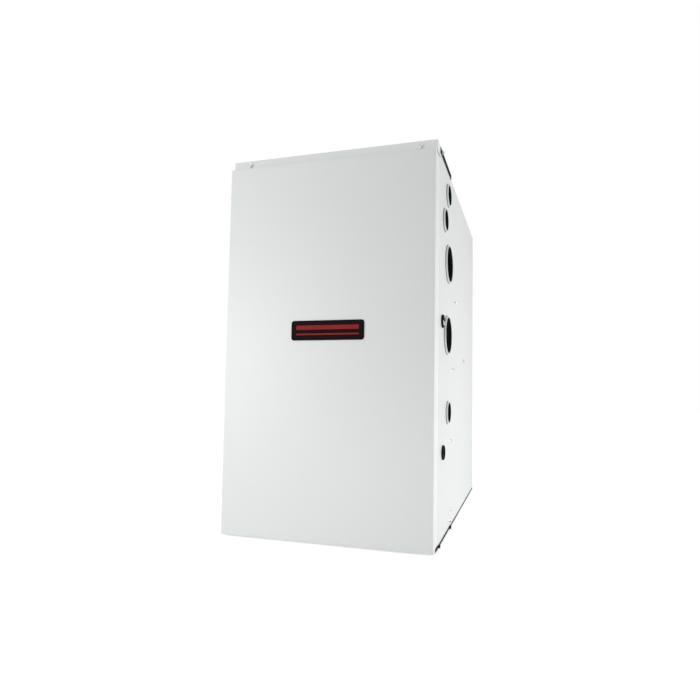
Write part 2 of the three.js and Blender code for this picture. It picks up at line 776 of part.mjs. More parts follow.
function inducerMotor() {
  const radius = inducerMotorRadius;
  const long = inducerMotorLength;
  const bore = clearing(inducerShaftRadius);
  const profile = [
    [bore, 0], [radius * 0.6, 0], [radius * 0.9, 4], [radius * 0.9, 12], [radius, 14], [radius, long - 14],
    [radius * 0.9, long - 12], [radius * 0.9, long - 4], [radius * 1.15, long - 4], [radius * 1.15, long],
    [bore, long], [bore, 0],
  ];
  const back = inducerFront - fit;
  return turned(profile, [inducerX, back - long, inducerZ], alongY);
}

function inducerWheel() {
  const discFront = inducerFront + inducerWall + 4;
  const bladeBack = inducerBack - inducerWall - 8;
  const hub = rod(9, [inducerX, discFront, inducerZ], bladeBack - discFront, alongY, 12);
  const disc = rod(inducerWheelRadius, [inducerX, discFront, inducerZ], 2, alongY, 24);
  const shaftLength = discFront - inducerFront + inducerMotorLength - 4;
  const shaft = rod(inducerShaftRadius, [inducerX, discFront - shaftLength, inducerZ], shaftLength + 1, alongY, 12);
  const blades = [];
  for (let i = 0; i < inducerBladeCount; i += 1) {
    const angle = (i / inducerBladeCount) * 2 * Math.PI;
    const blade = new THREE.BoxGeometry(inducerWheelRadius - 9, bladeBack - discFront - 1, 1.6);
    blade.translate((inducerWheelRadius + 6) / 2, (discFront + 1 + bladeBack) / 2, 0);
    blade.rotateY(angle);
    blade.translate(inducerX, 0, inducerZ);
    blades.push(solid(blade));
  }
  return join(disc, hub, shaft, ...blades);
}

// The vent pipe slips over the inducer's collar and ends inside the bushing in the top plate.
function ventPipe() {
  const low = inducerZ + inducerOutletHeight + fit;
  const step = low + ventCollarHeight + 1;
  const inner = ventPipeRadius - ventPipeWall;
  const seat = clearing(ventCollarRadius);
  const profile = [
    [seat, low], [ventPipeRadius, low], [ventPipeRadius, ventPipeTop], [inner, ventPipeTop],
    [inner, step + 2], [seat, step], [seat, low],
  ];
  return turned(profile, [ventX, inducerMiddle, 0], alongZ);
}

function limitSwitch() {
  const radius = limitSwitchRadius;
  const front = partition - fit;
  return join(
    rod(radius + 7, [0, front - 2, limitSwitchZ], 2, alongY, 16),
    rod(radius, [0, front - 12, limitSwitchZ], 12 + sheet + 10, alongY, 16),
    block(-6, -4, front - 20, front - 11, limitSwitchZ - 3, limitSwitchZ + 3),
    block(4, 6, front - 20, front - 11, limitSwitchZ - 3, limitSwitchZ + 3),
  );
}

// ---- Pressure switch and condensate ----
function pressureSwitch() {
  const back = partition - fit;
  const centre = [pressureSwitchX, back - pressureSwitchDepth, pressureSwitchZ];
  const profile = [
    [0, 0], [12, 0], [14, 6], [pressureSwitchRadius - 4, 8], [pressureSwitchRadius, 10],
    [pressureSwitchRadius, 18], [pressureSwitchRadius - 4, 20], [pressureSwitchRadius - 4, pressureSwitchDepth],
    [0, pressureSwitchDepth],
  ];
  const start = [pressurePortX, pressurePortY, pressureSwitchZ];
  const port = rod(hosePort, start, hosePortLength + 6, alongX, 12);
  return join(turned(profile, centre, alongY), port);
}

// The hose leaves the side of the switch and turns down to the port on top of the inducer housing.
function pressureHose() {
  const from = new THREE.Vector3(pressurePortX - fit, pressurePortY, pressureSwitchZ);
  const to = new THREE.Vector3(inducerPortX, inducerMiddle, inducerPortTop + fit);
  const reach = (from.z - to.z) * 0.8;
  const leave = from.clone().add(new THREE.Vector3(-reach, 0, 0));
  const arrive = to.clone().add(new THREE.Vector3(0, 0, reach));
  return tubeAlong(new THREE.CubicBezierCurve3(from, leave, arrive, to), hoseRadius, 6, 14);
}

function inducerPort() {
  const base = inducerPortTop - 28;
  return rod(hosePort, [inducerPortX, inducerMiddle, base], inducerPortTop - base, alongZ, 12);
}

function condensateTrap() {
  const low = deckHeight + fit;
  const tank = cut(
    block(trapLeft, trapLeft + trapWidth, trapFront, trapFront + trapDepth, low, low + trapHeight),
    block(
      trapLeft + 8, trapLeft + trapWidth - 8, trapFront - 1, trapFront + 5, low + 12, low + trapHeight - 14,
    ),
  );
  const cap = rod(14, [trapLeft + trapWidth / 2, trapMiddle, low + trapHeight - 1], 8, alongZ, 16);
  const outlet = rod(drainHoseRadius - 2, [trapLeft + trapWidth / 2, trapFront - 10, low + 20], 18, alongY, 12);
  return join(tank, cap, outlet);
}

// The drain hose leaves the trap forward, rises, and runs out toward the drain hole in the side.
function drainHose() {
  const hole = sideHoles.find((one) => one.name === 'drain');
  const x = trapLeft + trapWidth / 2;
  const start = new THREE.Vector3(x, trapFront - 10 - fit, deckHeight + fit + 20);
  const end = new THREE.Vector3(sideInside - bushingReach - 4, doorFace + hole.behind, hole.height);
  const leave = new THREE.Vector3(x, start.y - 60, start.z);
  const arrive = new THREE.Vector3(x - 30, end.y, end.z);
  return tubeAlong(new THREE.CubicBezierCurve3(start, leave, arrive, end), drainHoseRadius, 8, 14);
}

// ---- Burners and gas train ----
function burner(x) {
  const mouth = burnerTube + 5;
  const wall = 2;
  const profile = [
    [mouth, 0], [mouth, 2], [burnerTube, 14], [burnerTube, burnerLength - 28], [burnerHead, burnerLength - 22],
    [burnerHead, burnerLength], [burnerHead - wall, burnerLength], [burnerHead - wall, burnerLength - 21],
    [burnerTube - wall, burnerLength - 27], [burnerTube - wall, 13], [mouth - wall, 0], [mouth, 0],
  ];
  return turned(profile, [x, burnerFront, firingHeight], alongY, 14);
}

function burnerRack() {
  const half = rackHalfWidth;
  const z0 = rackBottom;
  const z1 = rackBottom + rackHeight;
  const back = partition - fit;
  const rack = join(
    block(-half, half, rackFront, rackFront + sheet, z0, z1),
    sideBlock(1, half - sheet, half, rackFront, back, z0, z1),
    sideBlock(-1, half - sheet, half, rackFront, back, z0, z1),
    sideBlock(1, half - sheet, half + 12, back - sheet, back, z0, z1),
    sideBlock(-1, half - sheet, half + 6, back - sheet, back, z0, z1),
  );
  const seats = tubeXs.map((x) => rod(clearing(burnerTube), [x, rackFront - 1, firingHeight], 4, alongY));
  return cut(rack, ...seats);
}

function gasManifold() {
  const left = -tubePitch - 20;
  const z = firingHeight;
  const pipe = rod(manifoldRadius, [left, manifoldY, z], valveX - left, alongX, 12);
  const elbow = solid(new THREE.SphereGeometry(manifoldRadius + 3, 10, 6).translate(valveX, manifoldY, z));
  const dropLength = z - valveTop - valveBoss - fit;
  const drop = rod(manifoldRadius, [valveX, manifoldY, z - dropLength], dropLength, alongZ, 12);
  const cap = rod(manifoldRadius + 3, [left - 4, manifoldY, z], 14, alongX, 6);
  const spuds = tubeXs.flatMap((x) => [
    rod(8, [x, manifoldY, z], manifoldRadius + 5, alongY, 6),
    rod(5, [x, manifoldY, z], burnerFront - manifoldY + 3, alongY, 8),
  ]);
  const tabs = [-0.5, 0.5].map((share) => {
    const x = share * tubePitch;
    return block(x - 7, x + 7, manifoldY, rackFront - fit, z + 2, z + 4);
  });
  return join(pipe, elbow, drop, cap, ...spuds, ...tabs);
}

function gasValve() {
  const hole = sideHoles.find((one) => one.name === 'gas_line');
  const inletY = doorFace + hole.behind;
  const x0 = valveX - valveWidth / 2;
  const x1 = valveX + valveWidth / 2;
  const y1 = valveFront + valveDepth;
  const z0 = valveTop - valveHeight;
  const body = cut(
    block(x0, x1, valveFront, y1, z0, valveTop),
    block(x0 - 1, x0 + 12, valveFront - 1, valveFront + 14, z0 - 1, valveTop + 1),
    block(x1 - 12, x1 + 1, valveFront - 1, valveFront + 14, z0 - 1, valveTop + 1),
  );
  return join(
    body,
    rod(manifoldRadius + 4, [valveX, manifoldY, valveTop - 1], valveBoss + 1, alongZ, 8),
    rod(manifoldRadius + 5, [x1 - 1, inletY, hole.height], valveBoss + 1, alongX, 8),
    rod(11, [valveX + 22, valveFront + 38, valveTop - 1], 16, alongZ, 16),
    rod(7, [valveX - 22, valveFront - 6, z0 + 18], 8, alongY, 12),
  );
}

// The on and off lever sits on the face of the valve and slides across it.
function gasValveSwitch() {
  const x = valveX - switchTravel / 2;
  const back = valveFront - fit;
  const z = valveTop - 26;
  return join(
    block(x - 9, x + 9, back - 3, back, z - 6, z + 6),
    block(x - 3, x + 3, back - 9, back - 2, z - 5, z + 5),
  );
}

function igniter() {
  const x0 = tubePitch + burnerHead + 3;
  const y0 = rackFront + sheet + fit;
  return join(
    block(x0, x0 + 9, y0, y0 + 20, firingHeight - 8, firingHeight + 8),
    block(x0 + 1, x0 + 3, y0 + 19, burnerBack + 5, firingHeight - 4, firingHeight - 2),
    block(x0 + 1, x0 + 3, y0 + 19, burnerBack + 5, firingHeight + 2, firingHeight + 4),
    block(x0 + 1, x0 + 3, burnerBack + 3, burnerBack + 5, firingHeight - 4, firingHeight + 4),
  );
}

function flameSensor() {
  const x = -tubePitch - burnerHead - 8;
  const y0 = rackFront + sheet + fit;
  return join(
    rod(5, [x, y0, firingHeight], 18, alongY, 12),
    rod(1.5, [x, y0 + 17, firingHeight], burnerBack - y0 - 12, alongY, 8),
  );
}

// ---- Blower ----
function blowerOutline(inset, extraTop) {
  const top = outletTop - blowerZ + extraTop;
  const place = ([u, v]) => [blowerY + u, blowerZ + v];
  return outline(scrollOutline(scrollStart, scrollEnd, inset, top).map(place));
}

// Front and back of the blower outlet, moved outward by a margin.
function outletSpan(margin) {
  const front = blowerY - scrollStart * Math.sin(cutoffAngle) - margin;
  const back = blowerY + scrollEnd + margin;
  return [front, back];
}

function blowerHousing() {
  const half = housingHalfWidth;
  const [front, back] = outletSpan(edgeFlange);
  const shell = cut(
    join(
      acrossX(blowerOutline(0, 0), -half, half),
      block(-half - edgeFlange, half + edgeFlange, front, back, outletTop - sheet, outletTop),
      ring(blowerInletRadius, blowerInletRadius + 3, [-half - 5, blowerY, blowerZ], 6, alongX, 32),
      ring(blowerInletRadius, blowerInletRadius + 3, [half - 1, blowerY, blowerZ], 6, alongX, 32),
    ),
    acrossX(blowerOutline(sheet, 1), -half + sheet, half - sheet),
    rod(blowerInletRadius, [-half - 6, blowerY, blowerZ], 2 * half + 12, alongX, 32),
  );
  return shell;
}

// One forward-curved blade, as an outline in (y, z) about the axis.
function bladeOutline(turn) {
  const inner = wheelRadius - bladeDepth;
  const sides = [-1, 1].map((side) => [0, 0.5, 1].map((share) => {
    const radius = inner + share * (bladeDepth - 1);
    const angle = turn + 0.16 * share * share + (side * bladeThickness) / 2 / radius;
    return [blowerY + radius * Math.cos(angle), blowerZ + radius * Math.sin(angle)];
  }));
  return outline([...sides[0], ...sides[1].reverse()]);
}

function blowerWheel() {
  const half = wheelHalfLength;
  const inner = wheelRadius - bladeDepth;
  const centre = [0, blowerY, blowerZ];
  const parts = [
    ring(inner - 2, wheelRadius, [-half, blowerY, blowerZ], wheelRing, alongX, 24),
    ring(inner - 2, wheelRadius, [half - wheelRing, blowerY, blowerZ], wheelRing, alongX, 24),
    ring(clearing(shaftRadius), hubRadius, [-hubHalfLength, ...centre.slice(1)], 2 * hubHalfLength, alongX, 16),
    ring(hubRadius - overlap, inner + 6, [-1.5, ...centre.slice(1)], 3, alongX, 24),
  ];
  for (let i = 0; i < bladeCount; i += 1) {
    const shape = bladeOutline((i / bladeCount) * 2 * Math.PI);
    parts.push(acrossX(shape, -half + wheelRing - overlap, half - wheelRing + overlap));
  }
  return join(...parts);
}

function blowerShaft() {
  const start = motorEnd - motorLength + 10;
  return rod(shaftRadius, [start, blowerY, blowerZ], hubHalfLength + 6 - start, alongX, 16);
}

function blowerMotor() {
  const bore = clearing(shaftRadius, 20);
  const profile = [
    [bore, 0], [motorRadius * 0.55, 0], [motorRadius * 0.92, 10], [motorRadius, 14],
    [motorRadius, motorLength - 14], [motorRadius * 0.92, motorLength - 10],
    [motorRadius * 0.3, motorLength], [bore, motorLength], [bore, 0],
  ];
  return turned(profile, [motorEnd - motorLength, blowerY, blowerZ], alongX, 20);
}

// A band around the motor with three arms that stand on the side of the housing.
function motorMount() {
  const foot = -housingHalfWidth - 5 - fit;
  const bandStart = foot - bandWidth;
  const inner = motorRadius + fit;
  const band = ring(inner, inner + bandThickness, [bandStart, blowerY, blowerZ], bandWidth, alongX, 20);
  const footReach = blowerInletRadius + 24;
  const arms = [60, 180, 300].map((degrees) => {
    const arm = join(
      block(bandStart, foot + 5, -armWidth / 2, armWidth / 2, footReach - bandThickness, footReach),
      block(bandStart, bandStart + bandThickness, -armWidth / 2, armWidth / 2, inner + 1, footReach),
      block(foot + 2, foot + 5, -armWidth / 2, armWidth / 2, footReach - overlap, footReach + 12),
    );
    return arm.rotate([degrees, 0, 0]).translate([0, blowerY, blowerZ]);
  });
  return join(band, ...arms);
}

// ---- Controls ----
const bracketFace = partition - bracketSetForward;
const boardX = -tubePitch;
const boardZ = deckUnder - bracketHeight / 2 - 6;

function controlBracket() {
  const x0 = boardX - boardWidth / 2 - 12;
  const x1 = transformerX + transformerSize / 2 + 12;
  const top = deckUnder - fit;
  return join(
    block(x0, x1, bracketFace, bracketFace + sheet, top - bracketHeight, top),
    block(x0, x1, bracketFace, bracketFace + edgeFlange, top - sheet, top),
    block(x0, x1, bracketFace, bracketFace + edgeFlange, top - bracketHeight, top - bracketHeight + sheet),
  );
}

function controlBoard() {
  const back = bracketFace - fit;
  const face = back - boardStandoff - boardThickness;
  const x0 = boardX - boardWidth / 2;
  const x1 = boardX + boardWidth / 2;
  const z0 = boardZ - boardHeight / 2;
  const z1 = boardZ + boardHeight / 2;
  const standoffs = [[x0 + 8, z0 + 8], [x1 - 8, z0 + 8], [x0 + 8, z1 - 8], [x1 - 8, z1 - 8]];
  // One part on the board. Its place and size are shares of the board, from its middle.
  const onBoard = (across, up, wide, high, deep) => {
    const left = boardX + (across - wide / 2) * boardWidth;
    const low = boardZ + (up - high / 2) * boardHeight;
    return block(left, left + wide * boardWidth, face - deep, face + overlap, low, low + high * boardHeight);
  };
  return join(
    block(x0, x1, face, face + boardThickness, z0, z1),
    ...standoffs.map(([x, z]) => rod(3, [x, face + 1, z], back - face - 1, alongY, 8)),
    onBoard(-0.3, 0.27, 0.19, 0.2, relayDepth),
    onBoard(-0.07, 0.27, 0.19, 0.2, relayDepth),
    onBoard(0.16, 0.27, 0.19, 0.2, relayDepth),
    onBoard(0.39, 0.09, 0.09, 0.54, plugDepth),
    onBoard(-0.27, -0.32, 0.33, 0.11, plugDepth),
    onBoard(0.12, -0.32, 0.24, 0.09, plugDepth),
    onBoard(-0.34, -0.05, 0.08, 0.22, relayDepth),
    onBoard(0, -0.07, 0.27, 0.2, chipDepth),
  );
}

function transformer() {
  const back = bracketFace - fit;
  const z = boardZ + transformerRise;
  // One layer of it: half its width and height as shares of the size, then how far out it reaches.
  const layer = (wide, high, from, to) => {
    const halfWide = wide * transformerSize;
    const halfHigh = high * transformerSize;
    const [front, rear] = [back - to * transformerDepth, back - from * transformerDepth];
    return block(transformerX - halfWide, transformerX + halfWide, front, rear, z - halfHigh, z + halfHigh);
  };
  const foot = layer(0.66, 0.26, 0, 0.05);
  const core = layer(0.5, 0.37, 0.04, 0.74);
  const winding = layer(0.34, 0.27, 0.72, 1);
  return join(foot, core, winding);
}

const doorSwitchZ = deckHeight - railHeight / 2 - sheet / 2;
const doorSwitchFront = deckFront + sheet + fit;

function doorSwitch() {
  const half = doorSwitchSize / 2;
  const body = block(
    doorSwitchX - half, doorSwitchX + half, doorSwitchFront, doorSwitchFront + 28,
    deckUnder - fit - doorSwitchSize, deckUnder - fit,
  );
  const well = rod(clearing(plungerRadius), [doorSwitchX, doorSwitchFront - 1, doorSwitchZ], 22, alongY);
  return cut(body, well);
}

function doorSwitchPlunger() {
  const tip = doorBack - sheet + fit;
  const stem = doorSwitchFront + 12 - tip;
  return turned(
    [[0, 0], [plungerRadius - 1.2, 0], [plungerRadius, 1.2], [plungerRadius, stem], [0, stem]],
    [doorSwitchX, tip, doorSwitchZ], alongY, 16,
  );
}

const junctionFront = casingFront + edgeFlange + 8;

function junctionBox() {
  const y1 = junctionFront + junctionBoxDepth;
  const z1 = junctionBoxBottom + junctionBoxHeight;
  const x0 = -innerX;
  const x1 = -innerX + junctionBoxWidth;
  return cut(
    block(x0, x1, junctionFront, y1, junctionBoxBottom, z1),
    block(x0 + sheet, x1 + 1, junctionFront + sheet, y1 - sheet, junctionBoxBottom + sheet, z1 - sheet),
    rod(11, [x0 + junctionBoxWidth / 2, junctionFront + junctionBoxDepth / 2, z1 - 3], 6, alongZ, 16),
  );
}

function junctionBoxCover() {
  const x0 = -innerX + junctionBoxWidth + fit;
  const y1 = junctionFront + junctionBoxDepth;
  const z1 = junctionBoxBottom + junctionBoxHeight;
  return block(x0, x0 + sheet, junctionFront - 3, y1 + 3, junctionBoxBottom - 3, z1 + 3);
}

// ---- Assembly ----
add('left_side_panel', sidePanel(-1, sideHoles.filter((hole) => pluggedHoles.includes(hole.name))), paintedSteel());
add('right_side_panel', sidePanel(1, sideHoles), paintedSteel());
add('back_panel', backPanel(), paintedSteel());
add('top_plate', topPlate(), paintedSteel());
add('base_pan', basePan(), paintedSteel());
add('vestibule_panel', vestibulePanel(), galvanized());
add('blower_deck', blowerDeck(), galvanized());

add('front_door', frontDoor(), paintedSteel());
add('door_seal_rail', doorRail(), galvanized());
add('door_insulation', doorInsulation(), glassWool());
add('badge', badge(), badgeFilm());

addSideHoles();
add('vent_bushing', bushing(ventHole, ventBore, [ventX, inducerMiddle, cabinetHeight], alongZ), greyPlastic());
add('air_intake_bushing', bushing(ventHole, ventBore, [-ventX, inducerMiddle, cabinetHeight], alongZ), greyPlastic());

const tubeSides = ['left', 'middle', 'right'];
tubeXs.forEach((x, i) => add(`heat_exchanger_tube_${tubeSides[i]}`, exchangerTube(x), aluminized()));
add('hot_collector_box', hotCollector(), aluminized());
add('secondary_coil', secondaryCoil(), aluminium());
add('cold_header', coldHeader(), blackPlastic());

add('burner_rack', burnerRack(), galvanized());
tubeXs.forEach((x, i) => add(`burner_${tubeSides[i]}`, burner(x), aluminized()));
add('gas_manifold', gasManifold(), blackPaint());
add('gas_valve', gasValve(), aluminium());
add('gas_valve_switch', gasValveSwitch(), whitePlastic());
add('igniter', igniter(), ceramic());
add('flame_sensor', flameSensor(), ceramic());
add('limit_switch', limitSwitch(), whitePlastic());

add('inducer_housing', join(inducerHousing(), inducerPort()), blackPlastic());
add('inducer_motor', inducerMotor(), blackPaint());
add('inducer_wheel', inducerWheel(), aluminium());
add('vent_pipe', ventPipe(), whitePlastic());
add('pressure_switch', pressureSwitch(), greyPlastic());
add('pressure_hose', pressureHose(), rubber());
add('condensate_trap', condensateTrap(), whitePlastic());
add('drain_hose', drainHose(), rubber());

add('blower_housing', blowerHousing(), galvanized());
add('blower_wheel', blowerWheel(), galvanized());
add('blower_shaft', blowerShaft(), aluminium());
add('blower_motor', blowerMotor(), blackPaint());
add('motor_mount', motorMount(), galvanized());

add('control_bracket', controlBracket(), galvanized());
add('control_board', controlBoard(), boardGreen());
add('transformer', transformer(), blackPaint());
add('door_switch', doorSwitch(), blackPlastic());
add('door_switch_plunger', doorSwitchPlunger(), whitePlastic());
add('junction_box', junctionBox(), galvanized());
add('junction_box_cover', junctionBoxCover(), galvanized());

export default furnace;
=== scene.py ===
from math import cos, pi, radians, sin

import bmesh
import bpy
from mathutils import Matrix, Vector


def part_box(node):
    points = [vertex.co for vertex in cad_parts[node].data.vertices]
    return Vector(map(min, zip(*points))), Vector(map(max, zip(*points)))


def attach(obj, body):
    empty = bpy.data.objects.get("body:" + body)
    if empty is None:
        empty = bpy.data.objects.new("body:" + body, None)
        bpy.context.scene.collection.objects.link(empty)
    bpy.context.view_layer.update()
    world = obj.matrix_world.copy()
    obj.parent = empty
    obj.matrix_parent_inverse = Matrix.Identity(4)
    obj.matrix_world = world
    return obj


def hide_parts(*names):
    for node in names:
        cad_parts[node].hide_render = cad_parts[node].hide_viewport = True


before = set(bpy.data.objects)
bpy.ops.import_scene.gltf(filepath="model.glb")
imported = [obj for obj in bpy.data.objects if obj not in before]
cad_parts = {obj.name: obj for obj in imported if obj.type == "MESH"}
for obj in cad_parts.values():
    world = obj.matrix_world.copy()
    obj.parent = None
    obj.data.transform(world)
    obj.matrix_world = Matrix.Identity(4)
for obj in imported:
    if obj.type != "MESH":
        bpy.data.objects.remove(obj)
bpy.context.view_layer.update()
bpy.ops.object.select_all(action="DESELECT")

# ---- Camera ----
# A wide lens a metre in front of the door and to its right, at about a third of the cabinet's
# height, solved from the cabinet's edges. The frame sits off the lens axis by a few percent.
door_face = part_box("front_door")[0].y
eye = Vector((0.4319, door_face - 1.022, 0.3393))
turn_left = radians(15.301)
tilt_up = radians(3.402)
lean = radians(0.690)
frame_px = 700
focal_px = 503.108
axis_px = (391.24, 357.54)

ahead = Vector((-sin(turn_left) * cos(tilt_up), cos(turn_left) * cos(tilt_up), sin(tilt_up)))
level_right = Vector((cos(turn_left), sin(turn_left), 0))
level_up = level_right.cross(ahead)
right = cos(lean) * level_right + sin(lean) * level_up
up = cos(lean) * level_up - sin(lean) * level_right
lens = bpy.data.cameras.new("camera")
lens.sensor_width = 36
lens.lens = focal_px / frame_px * lens.sensor_width
lens.shift_x = 0.5 - axis_px[0] / frame_px
lens.shift_y = axis_px[1] / frame_px - 0.5
camera = bpy.data.objects.new("camera", lens)
bpy.context.scene.collection.objects.link(camera)
camera.matrix_world = Matrix.Translation(eye) @ Matrix((right, up, -ahead)).transposed().to_4x4()
bpy.context.scene.camera = camera

# ---- Studio ----
# A plain white floor and a white surround. The floor keeps the cabinet's shadow. Two broad lamps
# stand to the front left, a low one to the right and a faint one before the foot of the door.
scene = bpy.context.scene
scene.view_settings.view_transform = "Standard"
world = bpy.data.worlds.new("studio")
scene.world = world
world.use_nodes = True
sky_nodes = world.node_tree.nodes
sky_links = world.node_tree.links
sky_nodes.clear()
sky_out = sky_nodes.new("ShaderNodeOutputWorld")
sky_mix = sky_nodes.new("ShaderNodeMixShader")
sky_fill = sky_nodes.new("ShaderNodeBackground")
sky_fill.inputs["Color"].default_value = (1, 1, 1, 1)
sky_fill.inputs["Strength"].default_value = 0.55
sky_white = sky_nodes.new("ShaderNodeBackground")
sky_white.inputs["Color"].default_value = (1, 1, 1, 1)
sky_white.inputs["Strength"].default_value = 1.0


def seen_directly(nodes, links):
    """1 where a ray comes from the camera, a mirror or glass, and 0 where it carries light."""
    path = nodes.new("ShaderNodeLightPath")
    first = nodes.new("ShaderNodeMath")
    first.operation = "MAXIMUM"
    links.new(path.outputs["Is Camera Ray"], first.inputs[0])
    links.new(path.outputs["Is Glossy Ray"], first.inputs[1])
    second = nodes.new("ShaderNodeMath")
    second.operation = "MAXIMUM"
    links.new(first.outputs[0], second.inputs[0])
    links.new(path.outputs["Is Transmission Ray"], second.inputs[1])
    return second.outputs[0]


sky_links.new(seen_directly(sky_nodes, sky_links), sky_mix.inputs["Fac"])
sky_links.new(sky_fill.outputs[0], sky_mix.inputs[1])
sky_links.new(sky_white.outputs[0], sky_mix.inputs[2])
sky_links.new(sky_mix.outputs[0], sky_out.inputs["Surface"])

floor_gap = 0.0005
floor_reach = 14
bpy.ops.mesh.primitive_plane_add(size=floor_reach, location=(0, 0, -floor_gap))
floor = bpy.context.active_object
floor.name = "floor"
floor_paper = bpy.data.materials.new("floor_paper")
floor_paper.use_nodes = True
paper_nodes = floor_paper.node_tree.nodes
paper_links = floor_paper.node_tree.links
paper_nodes["Principled BSDF"].inputs["Base Color"].default_value = (0.82, 0.82, 0.82, 1)
paper_nodes["Principled BSDF"].inputs["Roughness"].default_value = 0.9
paper_glow = paper_nodes.new("ShaderNodeEmission")
paper_glow.inputs["Strength"].default_value = 0.55
paper_clear = paper_nodes.new("ShaderNodeEmission")
paper_clear.inputs["Strength"].default_value = 0.0
paper_view = paper_nodes.new("ShaderNodeMixShader")
paper_sum = paper_nodes.new("ShaderNodeAddShader")
paper_links.new(seen_directly(paper_nodes, paper_links), paper_view.inputs["Fac"])
paper_links.new(paper_clear.outputs[0], paper_view.inputs[1])
paper_links.new(paper_glow.outputs[0], paper_view.inputs[2])
paper_links.new(paper_nodes["Principled BSDF"].outputs[0], paper_sum.inputs[0])
paper_links.new(paper_view.outputs[0], paper_sum.inputs[1])
paper_links.new(paper_sum.outputs[0], paper_nodes["Material Output"].inputs["Surface"])
floor.data.materials.append(floor_paper)


def add_lamp(name, place, target, width, height, power):
    """A soft rectangular lamp at place, facing target."""
    light = bpy.data.lights.new(name, "AREA")
    light.shape = "RECTANGLE"
    light.size = width
    light.size_y = height
    light.energy = power
    lamp = bpy.data.objects.new(name, light)
    scene.collection.objects.link(lamp)
    lamp.location = place
    lamp.rotation_euler = (Vector(target) - Vector(place)).to_track_quat("-Z", "Y").to_euler()


add_lamp("front_left_lamp", (-1.7, -2.1, 0.40), (-0.05, -0.36, 0.35), 1.5, 1.3, 24)
add_lamp("near_left_lamp", (-1.3, -1.2, 0.40), (-0.15, -0.36, 0.35), 1.0, 1.0, 2.4)
add_lamp("right_lamp", (1.5, -0.03, 0.10), (0.25, -0.03, 0.10), 0.6, 0.18, 8.8)
add_lamp("low_front_lamp", (0.12, -0.84, 0.022), (0.12, -0.36, 0.012), 0.9, 0.04, 0.31)

# ---- Painted steel ----
# The casing is steel sheet under a light grey powder coat, which leaves a fine orange-peel
# texture and a broad, faint unevenness in its tone.


def new_material(name, roughness, metallic=0.0, coat=0.0):
    """A principled material. Values that are the same all over sit on its own sockets."""
    material = bpy.data.materials.new(name)
    material.use_nodes = True
    shader = material.node_tree.nodes["Principled BSDF"]
    shader.inputs["Roughness"].default_value = roughness
    shader.inputs["Metallic"].default_value = metallic
    shader.inputs["Coat Weight"].default_value = coat
    return material


def node_value(nodes, links, operation, first, second=None, third=None):
    """A math node whose inputs are sockets or plain numbers."""
    node = nodes.new("ShaderNodeMath")
    node.operation = operation
    for socket, given in zip(node.inputs, (first, second, third)):
        if given is None:
            continue
        if isinstance(given, (int, float)):
            socket.default_value = given
        else:
            links.new(given, socket)
    return node.outputs[0]


def blend_colour(nodes, links, mask, below, above):
    """Colour below where the mask is 0 and above where it is 1."""
    mix = nodes.new("ShaderNodeMix")
    mix.data_type = "RGBA"
    links.new(mask, mix.inputs["Factor"])
    for socket, given in ((mix.inputs[6], below), (mix.inputs[7], above)):
        if isinstance(given, tuple):
            socket.default_value = (*given, 1)
        else:
            links.new(given, socket)
    return mix.outputs[2]


def effect_group(name, amounts):
    """An empty group that turns a colour and some amounts into a colour, a roughness and a normal."""
    group = bpy.data.node_groups.new(name, "ShaderNodeTree")
    face = group.interface
    face.new_socket("Colour", in_out="INPUT", socket_type="NodeSocketColor")
    for amount in amounts:
        face.new_socket(amount, in_out="INPUT", socket_type="NodeSocketFloat")
    face.new_socket("Colour", in_out="OUTPUT", socket_type="NodeSocketColor")
    face.new_socket("Roughness", in_out="OUTPUT", socket_type="NodeSocketFloat")
    face.new_socket("Normal", in_out="OUTPUT", socket_type="NodeSocketVector")
    given = group.nodes.new("NodeGroupInput")
    result = group.nodes.new("NodeGroupOutput")
    place = group.nodes.new("ShaderNodeTexCoord").outputs["Object"]
    return group, group.nodes, group.links, given.outputs, result.inputs, place


def shaded(nodes, links, colour, tone, amount, rough, gloss, spread, result):
    """The group's colour follows tone by amount, and its roughness follows gloss by spread."""
    tint = nodes.new("ShaderNodeVectorMath")
    tint.operation = "SCALE"
    links.new(colour, tint.inputs[0])
    links.new(node_value(nodes, links, "MULTIPLY_ADD", tone, amount, 1.0), tint.inputs["Scale"])
    links.new(tint.outputs[0], result["Colour"])
    links.new(node_value(nodes, links, "MULTIPLY_ADD", gloss, spread, rough), result["Roughness"])


def effect_material(name, group, colour, amounts, **plain):
    """A material whose colour, roughness and normal come from a group, set by a few amounts."""
    material = new_material(name, amounts["Roughness"], **plain)
    nodes = material.node_tree.nodes
    effect = nodes.new("ShaderNodeGroup")
    effect.node_tree = group
    effect.inputs["Colour"].default_value = (*colour, 1)
    for amount, value in amounts.items():
        effect.inputs[amount].default_value = value
    shader = nodes["Principled BSDF"]
    for output, socket in (
        ("Colour", "Base Color"), ("Roughness", "Roughness"), ("Normal", "Normal"),
    ):
        material.node_tree.links.new(effect.outputs[output], shader.inputs[socket])
    return material


def surface_group():
    """Fine grain and broad blotches."""
    amounts = ("Blotch", "Blotch Size", "Grain Size", "Grain Depth", "Roughness", "Spread")
    group, nodes, links, given, result, place = effect_group("surface_grain", amounts)
    blotch = nodes.new("ShaderNodeTexNoise")
    blotch.inputs["Detail"].default_value = 4
    grain = nodes.new("ShaderNodeTexNoise")
    grain.inputs["Detail"].default_value = 2
    for texture, size in ((blotch, "Blotch Size"), (grain, "Grain Size")):
        links.new(place, texture.inputs["Vector"])
        links.new(given[size], texture.inputs["Scale"])
    centred = node_value(nodes, links, "SUBTRACT", blotch.outputs["Fac"], 0.5)
    shaded(
        nodes, links, given["Colour"], centred, given["Blotch"],
        given["Roughness"], centred, given["Spread"], result,
    )
    bump = nodes.new("ShaderNodeBump")
    bump.inputs["Strength"].default_value = 1.0
    links.new(given["Grain Depth"], bump.inputs["Distance"])
    links.new(grain.outputs["Fac"], bump.inputs["Height"])
    links.new(bump.outputs["Normal"], result["Normal"])
    return group


surface_grain = surface_group()


